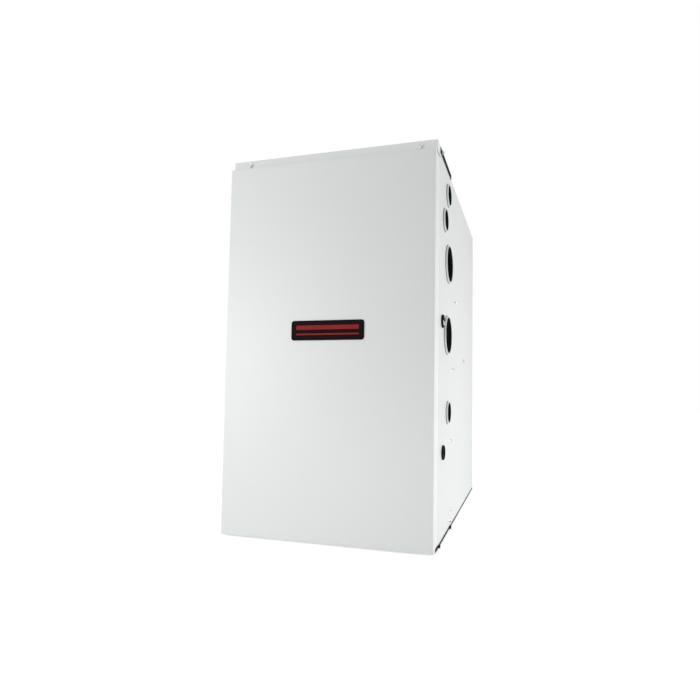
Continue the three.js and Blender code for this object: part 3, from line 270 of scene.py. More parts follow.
def grained(name, colour, roughness, blotch, blotch_size, grain_size, grain_depth, spread, **plain):
    """A material with surface grain."""
    return effect_material(name, surface_grain, colour, {
        "Blotch": blotch, "Blotch Size": blotch_size, "Grain Size": grain_size,
        "Grain Depth": grain_depth, "Roughness": roughness, "Spread": spread,
    }, **plain)


cabinet_paint = grained(
    "cabinet_paint", (0.70, 0.725, 0.715), 0.42,
    blotch=0.03, blotch_size=3.5, grain_size=900, grain_depth=0.00003, spread=0.08,
)


def wear(piece, material):
    """The piece carries this one material."""
    piece.data.materials.clear()
    piece.data.materials.append(material)


def keep_flats_flat(piece):
    """The large faces keep their own normal, so only the rolled edges shade as curved."""
    flats = piece.modifiers.new("flats", "WEIGHTED_NORMAL")
    flats.keep_sharp = True
    bpy.ops.object.modifier_apply(modifier=flats.name)


def softened(node, body, material, radius=0.0004, segments=2):
    """The same sheet as the CAD node, with its edges rolled to a small radius as a real fold has."""
    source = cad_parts[node]
    piece = bpy.data.objects.new(node + "_sheet", source.data.copy())
    scene.collection.objects.link(piece)
    bpy.ops.object.select_all(action="DESELECT")
    piece.select_set(True)
    bpy.context.view_layer.objects.active = piece
    bpy.ops.object.mode_set(mode="EDIT")
    bpy.ops.mesh.select_all(action="SELECT")
    bpy.ops.mesh.remove_doubles(threshold=0.00001)
    bpy.ops.mesh.dissolve_limited(angle_limit=radians(1))
    bpy.ops.object.mode_set(mode="OBJECT")
    roll = piece.modifiers.new("roll", "BEVEL")
    roll.width = radius
    roll.segments = segments
    roll.limit_method = "ANGLE"
    roll.angle_limit = radians(35)
    roll.use_clamp_overlap = True
    bpy.ops.object.modifier_apply(modifier=roll.name)
    bpy.ops.object.shade_smooth_by_angle(angle=radians(30))
    keep_flats_flat(piece)
    wear(piece, material)
    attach(piece, body)
    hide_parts(node)
    return piece


for panel in ("left_side_panel", "right_side_panel", "back_panel"):
    softened(panel, "cabinet", cabinet_paint)
# Painted light: the door, the top plate and the base pan wear a lighter copy of the same powder coat,
# brighter only to stand in for how the lamps catch the front.
front_paint_with_painted_light = grained(
    "front_paint_with_painted_light", (0.78, 0.805, 0.795), 0.46,
    blotch=0.03, blotch_size=3.5, grain_size=900, grain_depth=0.00003, spread=0.08,
)
for panel in ("top_plate", "base_pan"):
    softened(panel, "cabinet", front_paint_with_painted_light)

# ---- Front door ----
# One pressed pan of the same sheet: a flat skin, four rolled edges and a narrow hem turned in
# behind. It hooks on to the casing and covers the whole front below the strip.
sheet = 0.0012
hem = 0.010


def block(name, low, high):
    """A block between two corners, ready to be shaped in edit mode."""
    low = Vector(low)
    high = Vector(high)
    bpy.ops.object.select_all(action="DESELECT")
    bpy.ops.mesh.primitive_cube_add(size=1, location=(low + high) / 2, scale=high - low)
    bpy.ops.object.transform_apply(location=True, rotation=True, scale=True)
    piece = bpy.context.active_object
    piece.name = name
    return piece


def pick_faces(piece, wanted):
    """In edit mode, selects only the faces that wanted says yes to."""
    bpy.ops.mesh.select_mode(type="FACE")
    bpy.ops.mesh.select_all(action="DESELECT")
    mesh = bmesh.from_edit_mesh(piece.data)
    for face in mesh.faces:
        face.select_set(wanted(face))
    bmesh.update_edit_mesh(piece.data)


def pick_edges(piece, wanted):
    """In edit mode, selects only the edges that wanted says yes to."""
    bpy.ops.mesh.select_mode(type="EDGE")
    bpy.ops.mesh.select_all(action="DESELECT")
    mesh = bmesh.from_edit_mesh(piece.data)
    for edge in mesh.edges:
        edge.select_set(wanted(edge))
    bmesh.update_edit_mesh(piece.data)


def ease(piece, radius, segments=2, angle=35):
    """Rounds the sharp edges and smooths the faces between them."""
    bpy.ops.object.select_all(action="DESELECT")
    piece.select_set(True)
    bpy.context.view_layer.objects.active = piece
    if radius:
        roll = piece.modifiers.new("roll", "BEVEL")
        roll.width = radius
        roll.segments = segments
        roll.limit_method = "ANGLE"
        roll.angle_limit = radians(angle)
        bpy.ops.object.modifier_apply(modifier=roll.name)
    bpy.ops.object.shade_smooth_by_angle(angle=radians(angle))
    if radius:
        keep_flats_flat(piece)


def fitted(piece, body, slot, material, *nodes):
    """The finished piece rides on its body, wears its material and stands for its CAD nodes."""
    wear(piece, material)
    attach(piece, body)
    if nodes:
        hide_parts(*nodes)
    return piece


def finished(piece, radius, slot, material, *nodes, body="cabinet"):
    """Eased, then fitted. Most pieces stay with the cabinet."""
    ease(piece, radius)
    return fitted(piece, body, slot, material, *nodes)


door_low, door_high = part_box("front_door")
door = block("door_skin", door_low, door_high)
bpy.ops.object.mode_set(mode="EDIT")
bpy.ops.mesh.select_all(action="SELECT")
bpy.ops.mesh.bevel(offset=0.0016, segments=3, affect="EDGES")
pick_faces(door, lambda face: face.normal.y > 0.99)
bpy.ops.mesh.inset(thickness=hem - 0.0016)
bpy.ops.mesh.delete(type="FACE")
bpy.ops.object.mode_set(mode="OBJECT")
wall = door.modifiers.new("wall", "SOLIDIFY")
wall.thickness = sheet
wall.offset = -1
wall.use_even_offset = True
bpy.ops.object.modifier_apply(modifier=wall.name)
finished(door, 0.0, "painted_steel", front_paint_with_painted_light, "front_door", body="door")

# ---- Badge ----
# A thin rounded plate of printed film on plastic, stuck to the door: near black, with
# two plain dark red bands inside a raised rim. It carries no words.
badge_low, badge_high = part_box("badge")
badge_middle = (badge_low + badge_high) / 2
badge_corner = 0.0065
badge_rim = 0.0024

badge_plate = block("badge_plate", badge_low, badge_high)
bpy.ops.object.mode_set(mode="EDIT")
pick_edges(badge_plate, lambda edge: abs(edge.verts[0].co.y - edge.verts[1].co.y) > 0.0005)
bpy.ops.mesh.bevel(offset=badge_corner, segments=8, affect="EDGES")
pick_faces(badge_plate, lambda face: face.normal.y < -0.99)
bpy.ops.mesh.inset(thickness=badge_rim)
bpy.ops.transform.translate(value=(0, 0.0003, 0))
bpy.ops.object.mode_set(mode="OBJECT")
ease(badge_plate, 0.0002)

badge_film = new_material("badge_film", 0.6)
film_nodes = badge_film.node_tree.nodes
film_links = badge_film.node_tree.links


film_nodes["Principled BSDF"].inputs["Specular IOR Level"].default_value = 0.06
film_place = film_nodes.new("ShaderNodeTexCoord")
film_split = film_nodes.new("ShaderNodeSeparateXYZ")
film_links.new(film_place.outputs["Object"], film_split.inputs[0])
badge_half_width = (badge_high.x - badge_low.x) / 2


def film_band(height, thickness, reach):
    """1 inside a plain bar that lies across the badge, and 0 outside it."""
    away = node_value(
        film_nodes, film_links, "ADD", film_split.outputs["Z"], -badge_middle.z - height,
    )
    away = node_value(film_nodes, film_links, "ABSOLUTE", away)
    across = node_value(film_nodes, film_links, "ADD", film_split.outputs["X"], -badge_middle.x)
    across = node_value(film_nodes, film_links, "ABSOLUTE", across)
    inside = node_value(film_nodes, film_links, "LESS_THAN", away, thickness / 2)
    short = node_value(film_nodes, film_links, "LESS_THAN", across, reach)
    return node_value(film_nodes, film_links, "MULTIPLY", inside, short)


upper_band = film_band(0.0065, 0.0095, badge_half_width - 0.012)
lower_band = film_band(-0.0085, 0.0035, badge_half_width - 0.012)
both_bands = node_value(film_nodes, film_links, "MAXIMUM", upper_band, lower_band)
film_speck = film_nodes.new("ShaderNodeTexNoise")
film_speck.inputs["Scale"].default_value = 900
film_links.new(film_place.outputs["Object"], film_speck.inputs["Vector"])
film_red = blend_colour(
    film_nodes, film_links, film_speck.outputs["Fac"], (0.24, 0.016, 0.020), (0.33, 0.026, 0.030),
)
film_colour = blend_colour(film_nodes, film_links, both_bands, (0.006, 0.0025, 0.003), film_red)
film_links.new(film_colour, film_nodes["Principled BSDF"].inputs["Base Color"])
film_bump = film_nodes.new("ShaderNodeBump")
film_bump.inputs["Distance"].default_value = 0.00001
film_links.new(film_speck.outputs["Fac"], film_bump.inputs["Height"])
film_links.new(film_bump.outputs["Normal"], film_nodes["Principled BSDF"].inputs["Normal"])
fitted(badge_plate, "door", "badge_film", badge_film, "badge")

# ---- Bushings and plugs ----
# Pale nylon snap bushings with a black rubber lining guard the pipe holes in the right side and
# the top. The drain and the wires have black rubber grommets. Pale plugs close the left side.
nylon = grained(
    "pale_nylon", (0.66, 0.68, 0.67), 0.45,
    blotch=0.06, blotch_size=30, grain_size=1500, grain_depth=0.00002, spread=0.12,
)
# Black rubber for the grommets, linings and hose. The same black also makes the painted shade strips along
# the top seams and the foot.
black_rubber_and_painted_shade = grained(
    "black_rubber_and_painted_shade", (0.006, 0.006, 0.006), 0.75,
    blotch=0.3, blotch_size=30, grain_size=2200, grain_depth=0.00004, spread=0.14,
)
black_rubber_and_painted_shade.node_tree.nodes["Principled BSDF"].inputs["Specular IOR Level"].default_value = 0.12
grommets = ("right_bushing_drain", "right_bushing_wiring")
tip = 0.00001
bushing_wall = 0.0022
sleeve_reach = 0.0072


def turned(name, origin, axis, profile, sides=64):
    """A turned shape: a ring is drawn out along the axis and resized at each (radius, along)."""
    origin = Vector(origin)
    axis = Vector(axis)
    steps = [(max(radius, tip), along) for radius, along in profile]
    radius, along = steps[0]
    tilt = Vector((0, 0, 1)).rotation_difference(axis).to_euler()
    bpy.ops.object.select_all(action="DESELECT")
    bpy.ops.mesh.primitive_circle_add(
        vertices=sides, radius=radius, location=origin + axis * along, rotation=tilt,
    )
    bpy.ops.object.transform_apply(location=True, rotation=True, scale=True)
    piece = bpy.context.active_object
    piece.name = name
    bpy.ops.object.mode_set(mode="EDIT")
    bpy.ops.mesh.select_mode(type="EDGE")
    bpy.ops.mesh.select_all(action="SELECT")
    for next_radius, next_along in steps[1:]:
        step = axis * (next_along - along)
        bpy.ops.mesh.extrude_edges_move(TRANSFORM_OT_translate={"value": step})
        if next_radius != radius:
            centre = origin + axis * next_along
            bpy.ops.transform.resize(value=(next_radius / radius,) * 3, center_override=centre)
        radius, along = next_radius, next_along
    bpy.ops.mesh.select_all(action="SELECT")
    bpy.ops.mesh.remove_doubles(threshold=3 * tip)
    bpy.ops.mesh.normals_make_consistent(inside=False)
    bpy.ops.object.mode_set(mode="OBJECT")
    return piece


def joined(name, *pieces):
    """Several meshes made one piece."""
    bpy.ops.object.select_all(action="DESELECT")
    for piece in pieces:
        piece.select_set(True)
    bpy.context.view_layer.objects.active = pieces[0]
    bpy.ops.object.join()
    pieces[0].name = name
    return pieces[0]


def collar_size(node, axis):
    """Where a bushing's collar meets its panel, and its outer radius."""
    low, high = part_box(node)
    middle = (low + high) / 2
    if axis.z:
        middle.z = high.z
        outer = (high.x - low.x) / 2
    else:
        middle.x = high.x if axis.x > 0 else low.x
        outer = (high.z - low.z) / 2
    return middle - axis * 0.0045, outer


def bushing_profile(outer, bore):
    hole = outer - 0.0025
    return [
        (bore, 0.0031), (bore + 0.0006, 0.0041), (bore + 0.0016, 0.0045), (outer - 0.0010, 0.0042),
        (outer - 0.0002, 0.0032), (outer, 0.0020), (outer, 0.0003), (hole - 0.0003, 0.0003),
        (hole - 0.0003, -0.0012), (bore + 0.0010, -sleeve_reach), (bore, -sleeve_reach),
        (bore, 0.0031),
    ]


to_right = Vector((1, 0, 0))
to_left = Vector((-1, 0, 0))
upward = Vector((0, 0, 1))
pipe_holes = ("upper_air", "gas_line", "upper_vent", "drain", "lower_vent", "lower_pipe", "wiring")
bushings = [("right_bushing_" + hole, to_right) for hole in pipe_holes]
bushings += [("vent_bushing", upward), ("air_intake_bushing", upward)]
for node, way in bushings:
    seat, outer = collar_size(node, way)
    bore = outer - 0.0025 - bushing_wall
    collar = turned(node + "_collar", seat, way, bushing_profile(outer, bore), sides=96)
    ease(collar, 0.0)
    if node in grommets:
        fitted(collar, "cabinet", "rubber", black_rubber_and_painted_shade, node)
    else:
        fitted(collar, "cabinet", "grey_plastic", nylon, node)
    if way.x and node not in grommets:
        washer = turned(node + "_washer", seat, way, [
            (outer - 0.0010, 0.0001), (outer + 0.0007, 0.0001), (outer + 0.0007, 0.0008),
            (outer - 0.0010, 0.0008),
            (outer - 0.0010, 0.0001),
        ], sides=96)
        lining = turned(node + "_lining", seat, way, [
            (bore - 0.0001, 0.0043), (bore + 0.0012, 0.0047), (bore + 0.0010, 0.0049),
            (bore - 0.0004, 0.0048),
            (bore - 0.0013, 0.0040), (bore - 0.0013, -sleeve_reach), (bore - 0.0001, -sleeve_reach),
            (bore - 0.0001, 0.0043),
        ], sides=96)
        lining = joined(node + "_lining", lining, washer)
        finished(lining, 0.0, "rubber", black_rubber_and_painted_shade)

for hole in ("gas_line", "upper_vent", "lower_vent"):
    node = "left_plug_" + hole
    seat, outer = collar_size(node, to_left)
    bore = outer - 0.0025 - bushing_wall
    plug_profile = [(0, 0.0019), (bore * 0.35, 0.0019), (bore * 0.38, 0.0025), (bore * 0.42, 0.0019)]
    plug_profile += [(
        bore - 0.0022, 0.0019,
    )] + bushing_profile(outer, bore)[1:-1] + [(bore, 0), (0, 0)]
    plug = turned(node + "_cap", seat, to_left, plug_profile, sides=96)
    finished(plug, 0.0, "grey_plastic", nylon, node)

# ---- Sheet metal screws ----
# Zinc plated hex washer head screws hold the casing together. One is modelled and copied to the
# strip, the sides, the back and the lips of the top plate.
zinc = grained(
    "zinc_plate", (0.62, 0.62, 0.60), 0.30,
    blotch=0.12, blotch_size=120, grain_size=2500, grain_depth=0.00001, spread=0.15, metallic=1.0,
)
washer = turned("screw_washer", (0, 0, 0), (0, 0, 1), [
    (0, 0.0), (0.0052, 0.0), (0.0054, 0.0005), (0.0046, 0.0011), (0, 0.0012),
], sides=24)
hex_head = turned("screw_hex", (0, 0, 0), (0, 0, 1), [
    (0.0038, 0.0006), (0.0038, 0.0034), (0.0032, 0.0040), (0.0022, 0.0038), (0.0020, 0.0032),
    (0, 0.0032),
], sides=6)
ease(hex_head, 0.0002)
screw_model = joined("screw_model", washer, hex_head)


def screw(name, place, facing, body="cabinet"):
    """A copy of the screw with its head facing outward."""
    one = bpy.data.objects.new(name, screw_model.data.copy())
    scene.collection.objects.link(one)
    turn = Vector((0, 0, 1)).rotation_difference(Vector(facing)).to_matrix().to_4x4()
    one.data.transform(Matrix.Translation(place) @ turn)
    return fitted(one, body, "galvanized_steel", zinc)


face_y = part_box("front_door")[0].y
strip_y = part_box("top_plate")[0].y
side_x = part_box("right_side_panel")[1].x
lip_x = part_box("top_plate")[1].x
back_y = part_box("back_panel")[1].y
shade_strip_proud = 0.0006
for name, way in (("right", to_right), ("left", to_left)):
    screw(f"{name}_lip_screw", (way.x * (lip_x + shade_strip_proud), face_y + 0.075, 0.8695), way)
for i, x in enumerate((-0.203, 0.210)):
    screw(f"strip_screw_{i}", (x, strip_y, 0.8615), (0, -1, 0))
side_marks = (
    (0.286, 0.562), (0.470, 0.420), (0.245, 0.385), (0.217, 0.210), (0.221, 0.044), (0.220, 0.018),
)
for i, (behind, height) in enumerate(side_marks):
    screw(f"right_screw_{i}", (side_x, face_y + behind, height), to_right)
    screw(f"left_screw_{i}", (-side_x, face_y + behind, height), to_left)
for i, x in enumerate((-0.233, 0, 0.233)):
    for j, height in enumerate((0.03, 0.30, 0.57, 0.84)):
        screw(f"back_screw_{i}_{j}", (x, back_y, height), (0, 1, 0))

# ---- Seam and foot shade strips ----
# Painted shade: black strips fill the seam under each lip of the top plate and cover the lip's
# edge, where the seam's shadow falls. A black strip with two nubs paints the contact shadow along the foot of
# each side.
pan_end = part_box("base_pan")[1].y
lip_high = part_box("top_plate")[1]
for name, way in (("right", 1), ("left", -1)):
    inner = way * (side_x + 0.0001)
    outer = way * (lip_x + 0.0001)
    proud = way * (lip_x + shade_strip_proud)
    panel_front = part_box("right_side_panel")[0].y
    panel_back = back_y - 0.0015
    # Painted shade: a black strip under the lip and over its edge, where only the seam's shadow falls.
    seam_shade_piece = block(
        f"{name}_seam_shade_strip", (min(inner, proud), panel_front + 0.0005, 0.8612),
        (max(inner, proud), lip_high.y, 0.8656),
    )
    lip_shade_piece = block(
        f"{name}_lip_shade_strip", (min(outer, proud), panel_front + 0.0005, 0.8650),
        (max(outer, proud), lip_high.y, lip_high.z - 0.0004),
    )
    seam_shade_piece = joined(f"{name}_seam_shade_strip", seam_shade_piece, lip_shade_piece)
    finished(seam_shade_piece, 0.0002, "rubber", black_rubber_and_painted_shade)
    inner = way * (side_x + 0.0001)
    foot_out = way * (side_x + shade_strip_proud)
    shade_nub_out = way * (side_x + 0.0040)
    # Painted shade: black runs and nubs along the foot stand in for the contact shadow and the shadow gap
    # under the side.
    foot_shade_runs = (
        (foot_out, panel_front - 0.028, panel_front, 0.0085),
        (foot_out, panel_front, pan_end, 0.0062),
        (foot_out, pan_end, panel_back, 0.0048), (shade_nub_out, face_y + 0.056, face_y + 0.062, 0.0050),
        (shade_nub_out, pan_end - 0.006, pan_end + 0.006, 0.0068),
    )
    lengths = [
        block("foot_shade_run", (min(inner, reach), start, 0.0004), (max(inner, reach), end, height))
        for reach, start, end, height in foot_shade_runs
    ]
    foot = joined(f"{name}_foot_shade_strip", *lengths)
    finished(foot, 0.0002, "rubber", black_rubber_and_painted_shade)

# ---- Door rail and insulation ----
# Behind the skin a galvanized hat channel stiffens the door in line with the blower deck, and a
# foil-faced glass wool pad is glued round it.


def spangle_group():
    """The crystal pattern of hot-dip zinc: flat cells that differ in tone and in gloss."""
    amounts = ("Cells", "Contrast", "Roughness", "Spread")
    group, nodes, links, given, result, place = effect_group("zinc_spangle", amounts)
    cells = nodes.new("ShaderNodeTexVoronoi")
    links.new(place, cells.inputs["Vector"])
    links.new(given["Cells"], cells.inputs["Scale"])
    split = nodes.new("ShaderNodeSeparateColor")
    links.new(cells.outputs["Color"], split.inputs[0])
    tone = node_value(nodes, links, "SUBTRACT", split.outputs[0], 0.5)
    gloss = node_value(nodes, links, "SUBTRACT", split.outputs[1], 0.5)
    shaded(
        nodes, links, given["Colour"], tone, given["Contrast"],
        given["Roughness"], gloss, given["Spread"], result,
    )
    bump = nodes.new("ShaderNodeBump")
    bump.inputs["Distance"].default_value = 0.00002
    links.new(split.outputs[2], bump.inputs["Height"])
    links.new(bump.outputs["Normal"], result["Normal"])
    return group


zinc_spangle = spangle_group()


def spangled(name, colour, cells, contrast, roughness, spread):
    """Bare coated sheet steel, with the crystal pattern of its coating."""
    amounts = {"Cells": cells, "Contrast": contrast, "Roughness": roughness, "Spread": spread}
    return effect_material(name, zinc_spangle, colour, amounts, metallic=1.0)


galvanized = spangled("galvanized_sheet", (0.56, 0.58, 0.60), 110, 0.28, 0.40, 0.16)
softened("door_seal_rail", "door", galvanized)

foil = new_material("foil_face", 0.36, metallic=1.0)
foil_nodes = foil.node_tree.nodes
foil_links = foil.node_tree.links
foil_place = foil_nodes.new("ShaderNodeTexCoord")
foil_crease = foil_nodes.new("ShaderNodeTexVoronoi")
foil_crease.feature = "DISTANCE_TO_EDGE"
foil_crease.inputs["Scale"].default_value = 55
foil_wool = foil_nodes.new("ShaderNodeTexNoise")
foil_wool.inputs["Scale"].default_value = 24
foil_wool.inputs["Detail"].default_value = 6
for texture in (foil_crease, foil_wool):
    foil_links.new(foil_place.outputs["Object"], texture.inputs["Vector"])
foil_tone = blend_colour(
    foil_nodes, foil_links, foil_wool.outputs["Fac"], (0.62, 0.62, 0.60), (0.80, 0.80, 0.78),
)
foil_links.new(foil_tone, foil_nodes["Principled BSDF"].inputs["Base Color"])
foil_height = node_value(
    foil_nodes, foil_links, "MULTIPLY_ADD", foil_crease.outputs["Distance"], 0.4,
    foil_wool.outputs["Fac"],
)
foil_bump = foil_nodes.new("ShaderNodeBump")
foil_bump.inputs["Distance"].default_value = 0.0012
foil_links.new(foil_height, foil_bump.inputs["Height"])
foil_links.new(foil_bump.outputs["Normal"], foil_nodes["Principled BSDF"].inputs["Normal"])
pad = softened("door_insulation", "door", foil, radius=0.0035, segments=3)

# ---- Partition and blower deck ----
# Two galvanized panels divide the casing: the upright partition behind the burners, and the deck
# that carries the heat exchangers over the blower.
softened("vestibule_panel", "cabinet", galvanized)
softened("blower_deck", "cabinet", galvanized)
partition_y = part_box("burner_rack")[1].y + 0.0003
deck_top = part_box("blower_deck")[1].z
for i, x in enumerate((-0.215, 0.215)):
    for j, height in enumerate((0.44, 0.60, 0.835)):
        screw(f"partition_screw_{i}_{j}", (x, partition_y, height), (0, -1, 0))

# ---- Firing tubes ----
# Three round tubes of aluminized steel carry the flame back, down and forward again in long
# bends, and end in the collector box. Heat has tinted them near the burners.
tube_radius = 0.0225
tube_wall = 0.0015
burner_z = 0.790
back_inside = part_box("back_panel")[1].y - sheet
coil_low, coil_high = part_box("secondary_coil")
lowest_run = coil_high.z + 0.050
rear_turn = 0.273 * (burner_z - lowest_run)
middle_run = burner_z - 2 * rear_turn
front_turn = (middle_run - lowest_run) / 2
rear_turn_y = back_inside - 0.0275 - tube_radius - rear_turn
front_turn_y = partition_y + 0.0145 + tube_radius + front_turn

firing_steel = new_material("aluminized_tube", 0.42, metallic=1.0)
tube_nodes = firing_steel.node_tree.nodes
tube_links = firing_steel.node_tree.links
tube_place = tube_nodes.new("ShaderNodeTexCoord")
tube_split = tube_nodes.new("ShaderNodeSeparateXYZ")
tube_links.new(tube_place.outputs["Object"], tube_split.inputs[0])
tube_mottle = tube_nodes.new("ShaderNodeTexNoise")
tube_mottle.inputs["Scale"].default_value = 38
tube_mottle.inputs["Detail"].default_value = 6
tube_links.new(tube_place.outputs["Object"], tube_mottle.inputs["Vector"])
near_flame = node_value(tube_nodes, tube_links, "MULTIPLY_ADD", tube_split.outputs["Y"], -5.0, 0.35)
high_up = node_value(tube_nodes, tube_links, "MULTIPLY_ADD", tube_split.outputs["Z"], 12.0, -8.9)
for_heat = node_value(tube_nodes, tube_links, "MINIMUM", near_flame, high_up)
for_heat = node_value(
    tube_nodes, tube_links, "MULTIPLY_ADD", tube_mottle.outputs["Fac"], 0.35, for_heat,
)
heat_colours = tube_nodes.new("ShaderNodeValToRGB")
heat_colours.color_ramp.elements[0].position = 0.18
heat_colours.color_ramp.elements[0].color = (0.47, 0.46, 0.44, 1)
heat_colours.color_ramp.elements[1].position = 0.95
heat_colours.color_ramp.elements[1].color = (0.10, 0.11, 0.16, 1)
straw = heat_colours.color_ramp.elements.new(0.55)
straw.color = (0.33, 0.24, 0.15, 1)
tube_links.new(for_heat, heat_colours.inputs[0])
tube_links.new(heat_colours.outputs[0], tube_nodes["Principled BSDF"].inputs["Base Color"])
tube_rough = node_value(tube_nodes, tube_links, "MULTIPLY_ADD", tube_mottle.outputs["Fac"], 0.3, 0.28)
tube_links.new(tube_rough, tube_nodes["Principled BSDF"].inputs["Roughness"])
tube_bump = tube_nodes.new("ShaderNodeBump")
tube_bump.inputs["Distance"].default_value = 0.0002
tube_links.new(tube_mottle.outputs["Fac"], tube_bump.inputs["Height"])
tube_links.new(tube_bump.outputs["Normal"], tube_nodes["Principled BSDF"].inputs["Normal"])


def run(length):
    """In edit mode, draws the ring that is selected along the cabinet's depth."""
    bpy.ops.mesh.extrude_edges_move(TRANSFORM_OT_translate={"value": (0, length, 0)})


def firing_tube(name, x, node):
    start_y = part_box(node)[0].y
    end_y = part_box("hot_collector_box")[0].y + 0.004
    bpy.ops.object.select_all(action="DESELECT")
    bpy.ops.mesh.primitive_circle_add(
        vertices=40, radius=tube_radius, location=(x, start_y, burner_z),
        rotation=(radians(90), 0, 0),
    )
    bpy.ops.object.transform_apply(location=True, rotation=True, scale=True)
    tube = bpy.context.active_object
    tube.name = name
    bpy.ops.object.mode_set(mode="EDIT")
    bpy.ops.mesh.select_mode(type="EDGE")
    bpy.ops.mesh.select_all(action="SELECT")
    run(rear_turn_y - start_y)
    centre = (x, rear_turn_y, burner_z - rear_turn)
    bpy.ops.mesh.spin(steps=26, angle=pi, center=centre, axis=(1, 0, 0))
    run(front_turn_y - rear_turn_y)
    centre = (x, front_turn_y, lowest_run + front_turn)
    bpy.ops.mesh.spin(steps=22, angle=-pi, center=centre, axis=(1, 0, 0))
    run(end_y - front_turn_y)
    bpy.ops.mesh.select_all(action="SELECT")
    bpy.ops.mesh.remove_doubles(threshold=0.00001)
    bpy.ops.mesh.normals_make_consistent(inside=False)
    bpy.ops.object.mode_set(mode="OBJECT")
    wall = tube.modifiers.new("wall", "SOLIDIFY")
    wall.thickness = tube_wall
    wall.offset = -1
    bpy.ops.object.modifier_apply(modifier=wall.name)
    return finished(tube, 0.0, "aluminized_steel", firing_steel, node)


tube_pitch = 0.095
for x, side in ((-tube_pitch, "left"), (0, "middle"), (tube_pitch, "right")):
    node = "heat_exchanger_tube_" + side
    firing_tube(node + "_pipe", x, node)
    seat = turned(f"tube_collar_{side}", (x, partition_y - 0.0002, burner_z), (0, -1, 0), [
        (tube_radius + 0.0002, 0.0), (tube_radius + 0.0060, 0.0), (tube_radius + 0.0060, 0.0010),
        (tube_radius + 0.0020, 0.0016), (tube_radius + 0.0010, 0.0026),
        (tube_radius + 0.0002, 0.0026),
        (tube_radius + 0.0002, 0.0),
    ], sides=48)
    finished(seat, 0.0, "aluminized_steel", firing_steel)

aluminized = spangled("aluminized_sheet", (0.44, 0.43, 0.41), 420, 0.16, 0.46, 0.10)
softened("hot_collector_box", "cabinet", aluminized, radius=0.0012, segments=3)
box_low, box_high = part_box("hot_collector_box")
for i, x in enumerate((-0.150, -0.0475, 0.0475, 0.150)):
    screw(f"collector_screw_{i}", (x, box_low.y, box_high.z - 0.007), (0, -1, 0))

# ---- Condensing coil ----
# A slab of thin aluminium fins pressed on to stainless tubes, in an aluminium frame. It takes the
# last heat out of the gas before the inducer.
brushed = new_material("mill_aluminium", 0.36, metallic=1.0)
brushed_nodes = brushed.node_tree.nodes
brushed_links = brushed.node_tree.links
brushed_place = brushed_nodes.new("ShaderNodeTexCoord")
brushed_stretch = brushed_nodes.new("ShaderNodeMapping")
brushed_stretch.inputs["Scale"].default_value = (1, 1, 30)
brushed_grain = brushed_nodes.new("ShaderNodeTexNoise")
brushed_grain.inputs["Scale"].default_value = 60
brushed_grain.inputs["Detail"].default_value = 5
brushed_links.new(brushed_place.outputs["Object"], brushed_stretch.inputs["Vector"])
brushed_links.new(brushed_stretch.outputs["Vector"], brushed_grain.inputs["Vector"])
brushed_tone = blend_colour(
    brushed_nodes, brushed_links, brushed_grain.outputs["Fac"], (0.66, 0.67, 0.69),
    (0.82, 0.83, 0.84),
)
brushed_links.new(brushed_tone, brushed_nodes["Principled BSDF"].inputs["Base Color"])
brushed_rough = node_value(
    brushed_nodes, brushed_links, "MULTIPLY_ADD", brushed_grain.outputs["Fac"], 0.2, 0.26,
)
brushed_links.new(brushed_rough, brushed_nodes["Principled BSDF"].inputs["Roughness"])

coil_plate = 0.002
frame_sides = []
for x0, x1 in ((coil_low.x, coil_low.x + coil_plate), (coil_high.x - coil_plate, coil_high.x)):
    frame_sides.append(
        block("coil_side", (x0, coil_low.y, coil_low.z), (x1, coil_high.y, coil_high.z))
    )
for y0, y1 in ((coil_low.y, coil_low.y + coil_plate), (coil_high.y - coil_plate, coil_high.y)):
    inner = coil_high.x - coil_plate
    frame_sides.append(block("coil_end", (-inner, y0, coil_low.z), (inner, y1, coil_high.z)))
coil_frame = joined("coil_frame", *frame_sides)
finished(coil_frame, 0.0003, "aluminium", brushed, "secondary_coil")

fin_gap = 0.0030
fin_count = int((coil_high.y - coil_low.y - 2 * coil_plate) / fin_gap) - 1
fin = block(
    "coil_fins",
    (coil_low.x + coil_plate, coil_low.y + 2 * coil_plate, coil_low.z + 0.004),
    (coil_high.x - coil_plate, coil_low.y + 2 * coil_plate + 0.0003, coil_high.z - 0.004),
)
repeat = fin.modifiers.new("repeat", "ARRAY")
repeat.use_relative_offset = False
repeat.use_constant_offset = True
repeat.constant_offset_displace = (0, fin_gap, 0)
repeat.count = fin_count
bpy.ops.object.modifier_apply(modifier=repeat.name)
fitted(fin, "cabinet", "aluminium", brushed)
return_bends = []
for i in range(8):
    x = coil_low.x + 0.030 + i * 0.0371
    z = (coil_low.z + coil_high.z) / 2 + (0.020 if i % 2 else -0.020)
    stub = turned(f"coil_tube_{i}", (x, coil_low.y - 0.0008, z), (0, 1, 0), [
        (0.0080, 0.0), (0.0092, 0.0), (0.0092, 0.0025), (0.0080, 0.0035),
        (0.0080, coil_high.y - coil_low.y + 0.0006), (0.0068, coil_high.y - coil_low.y + 0.0006),
        (0.0068, 0.0), (0.0080, 0.0),
    ], sides=24)
    return_bends.append(stub)
coil_tubes = joined("coil_tubes", *return_bends)
finished(coil_tubes, 0.0, "aluminium", brushed)

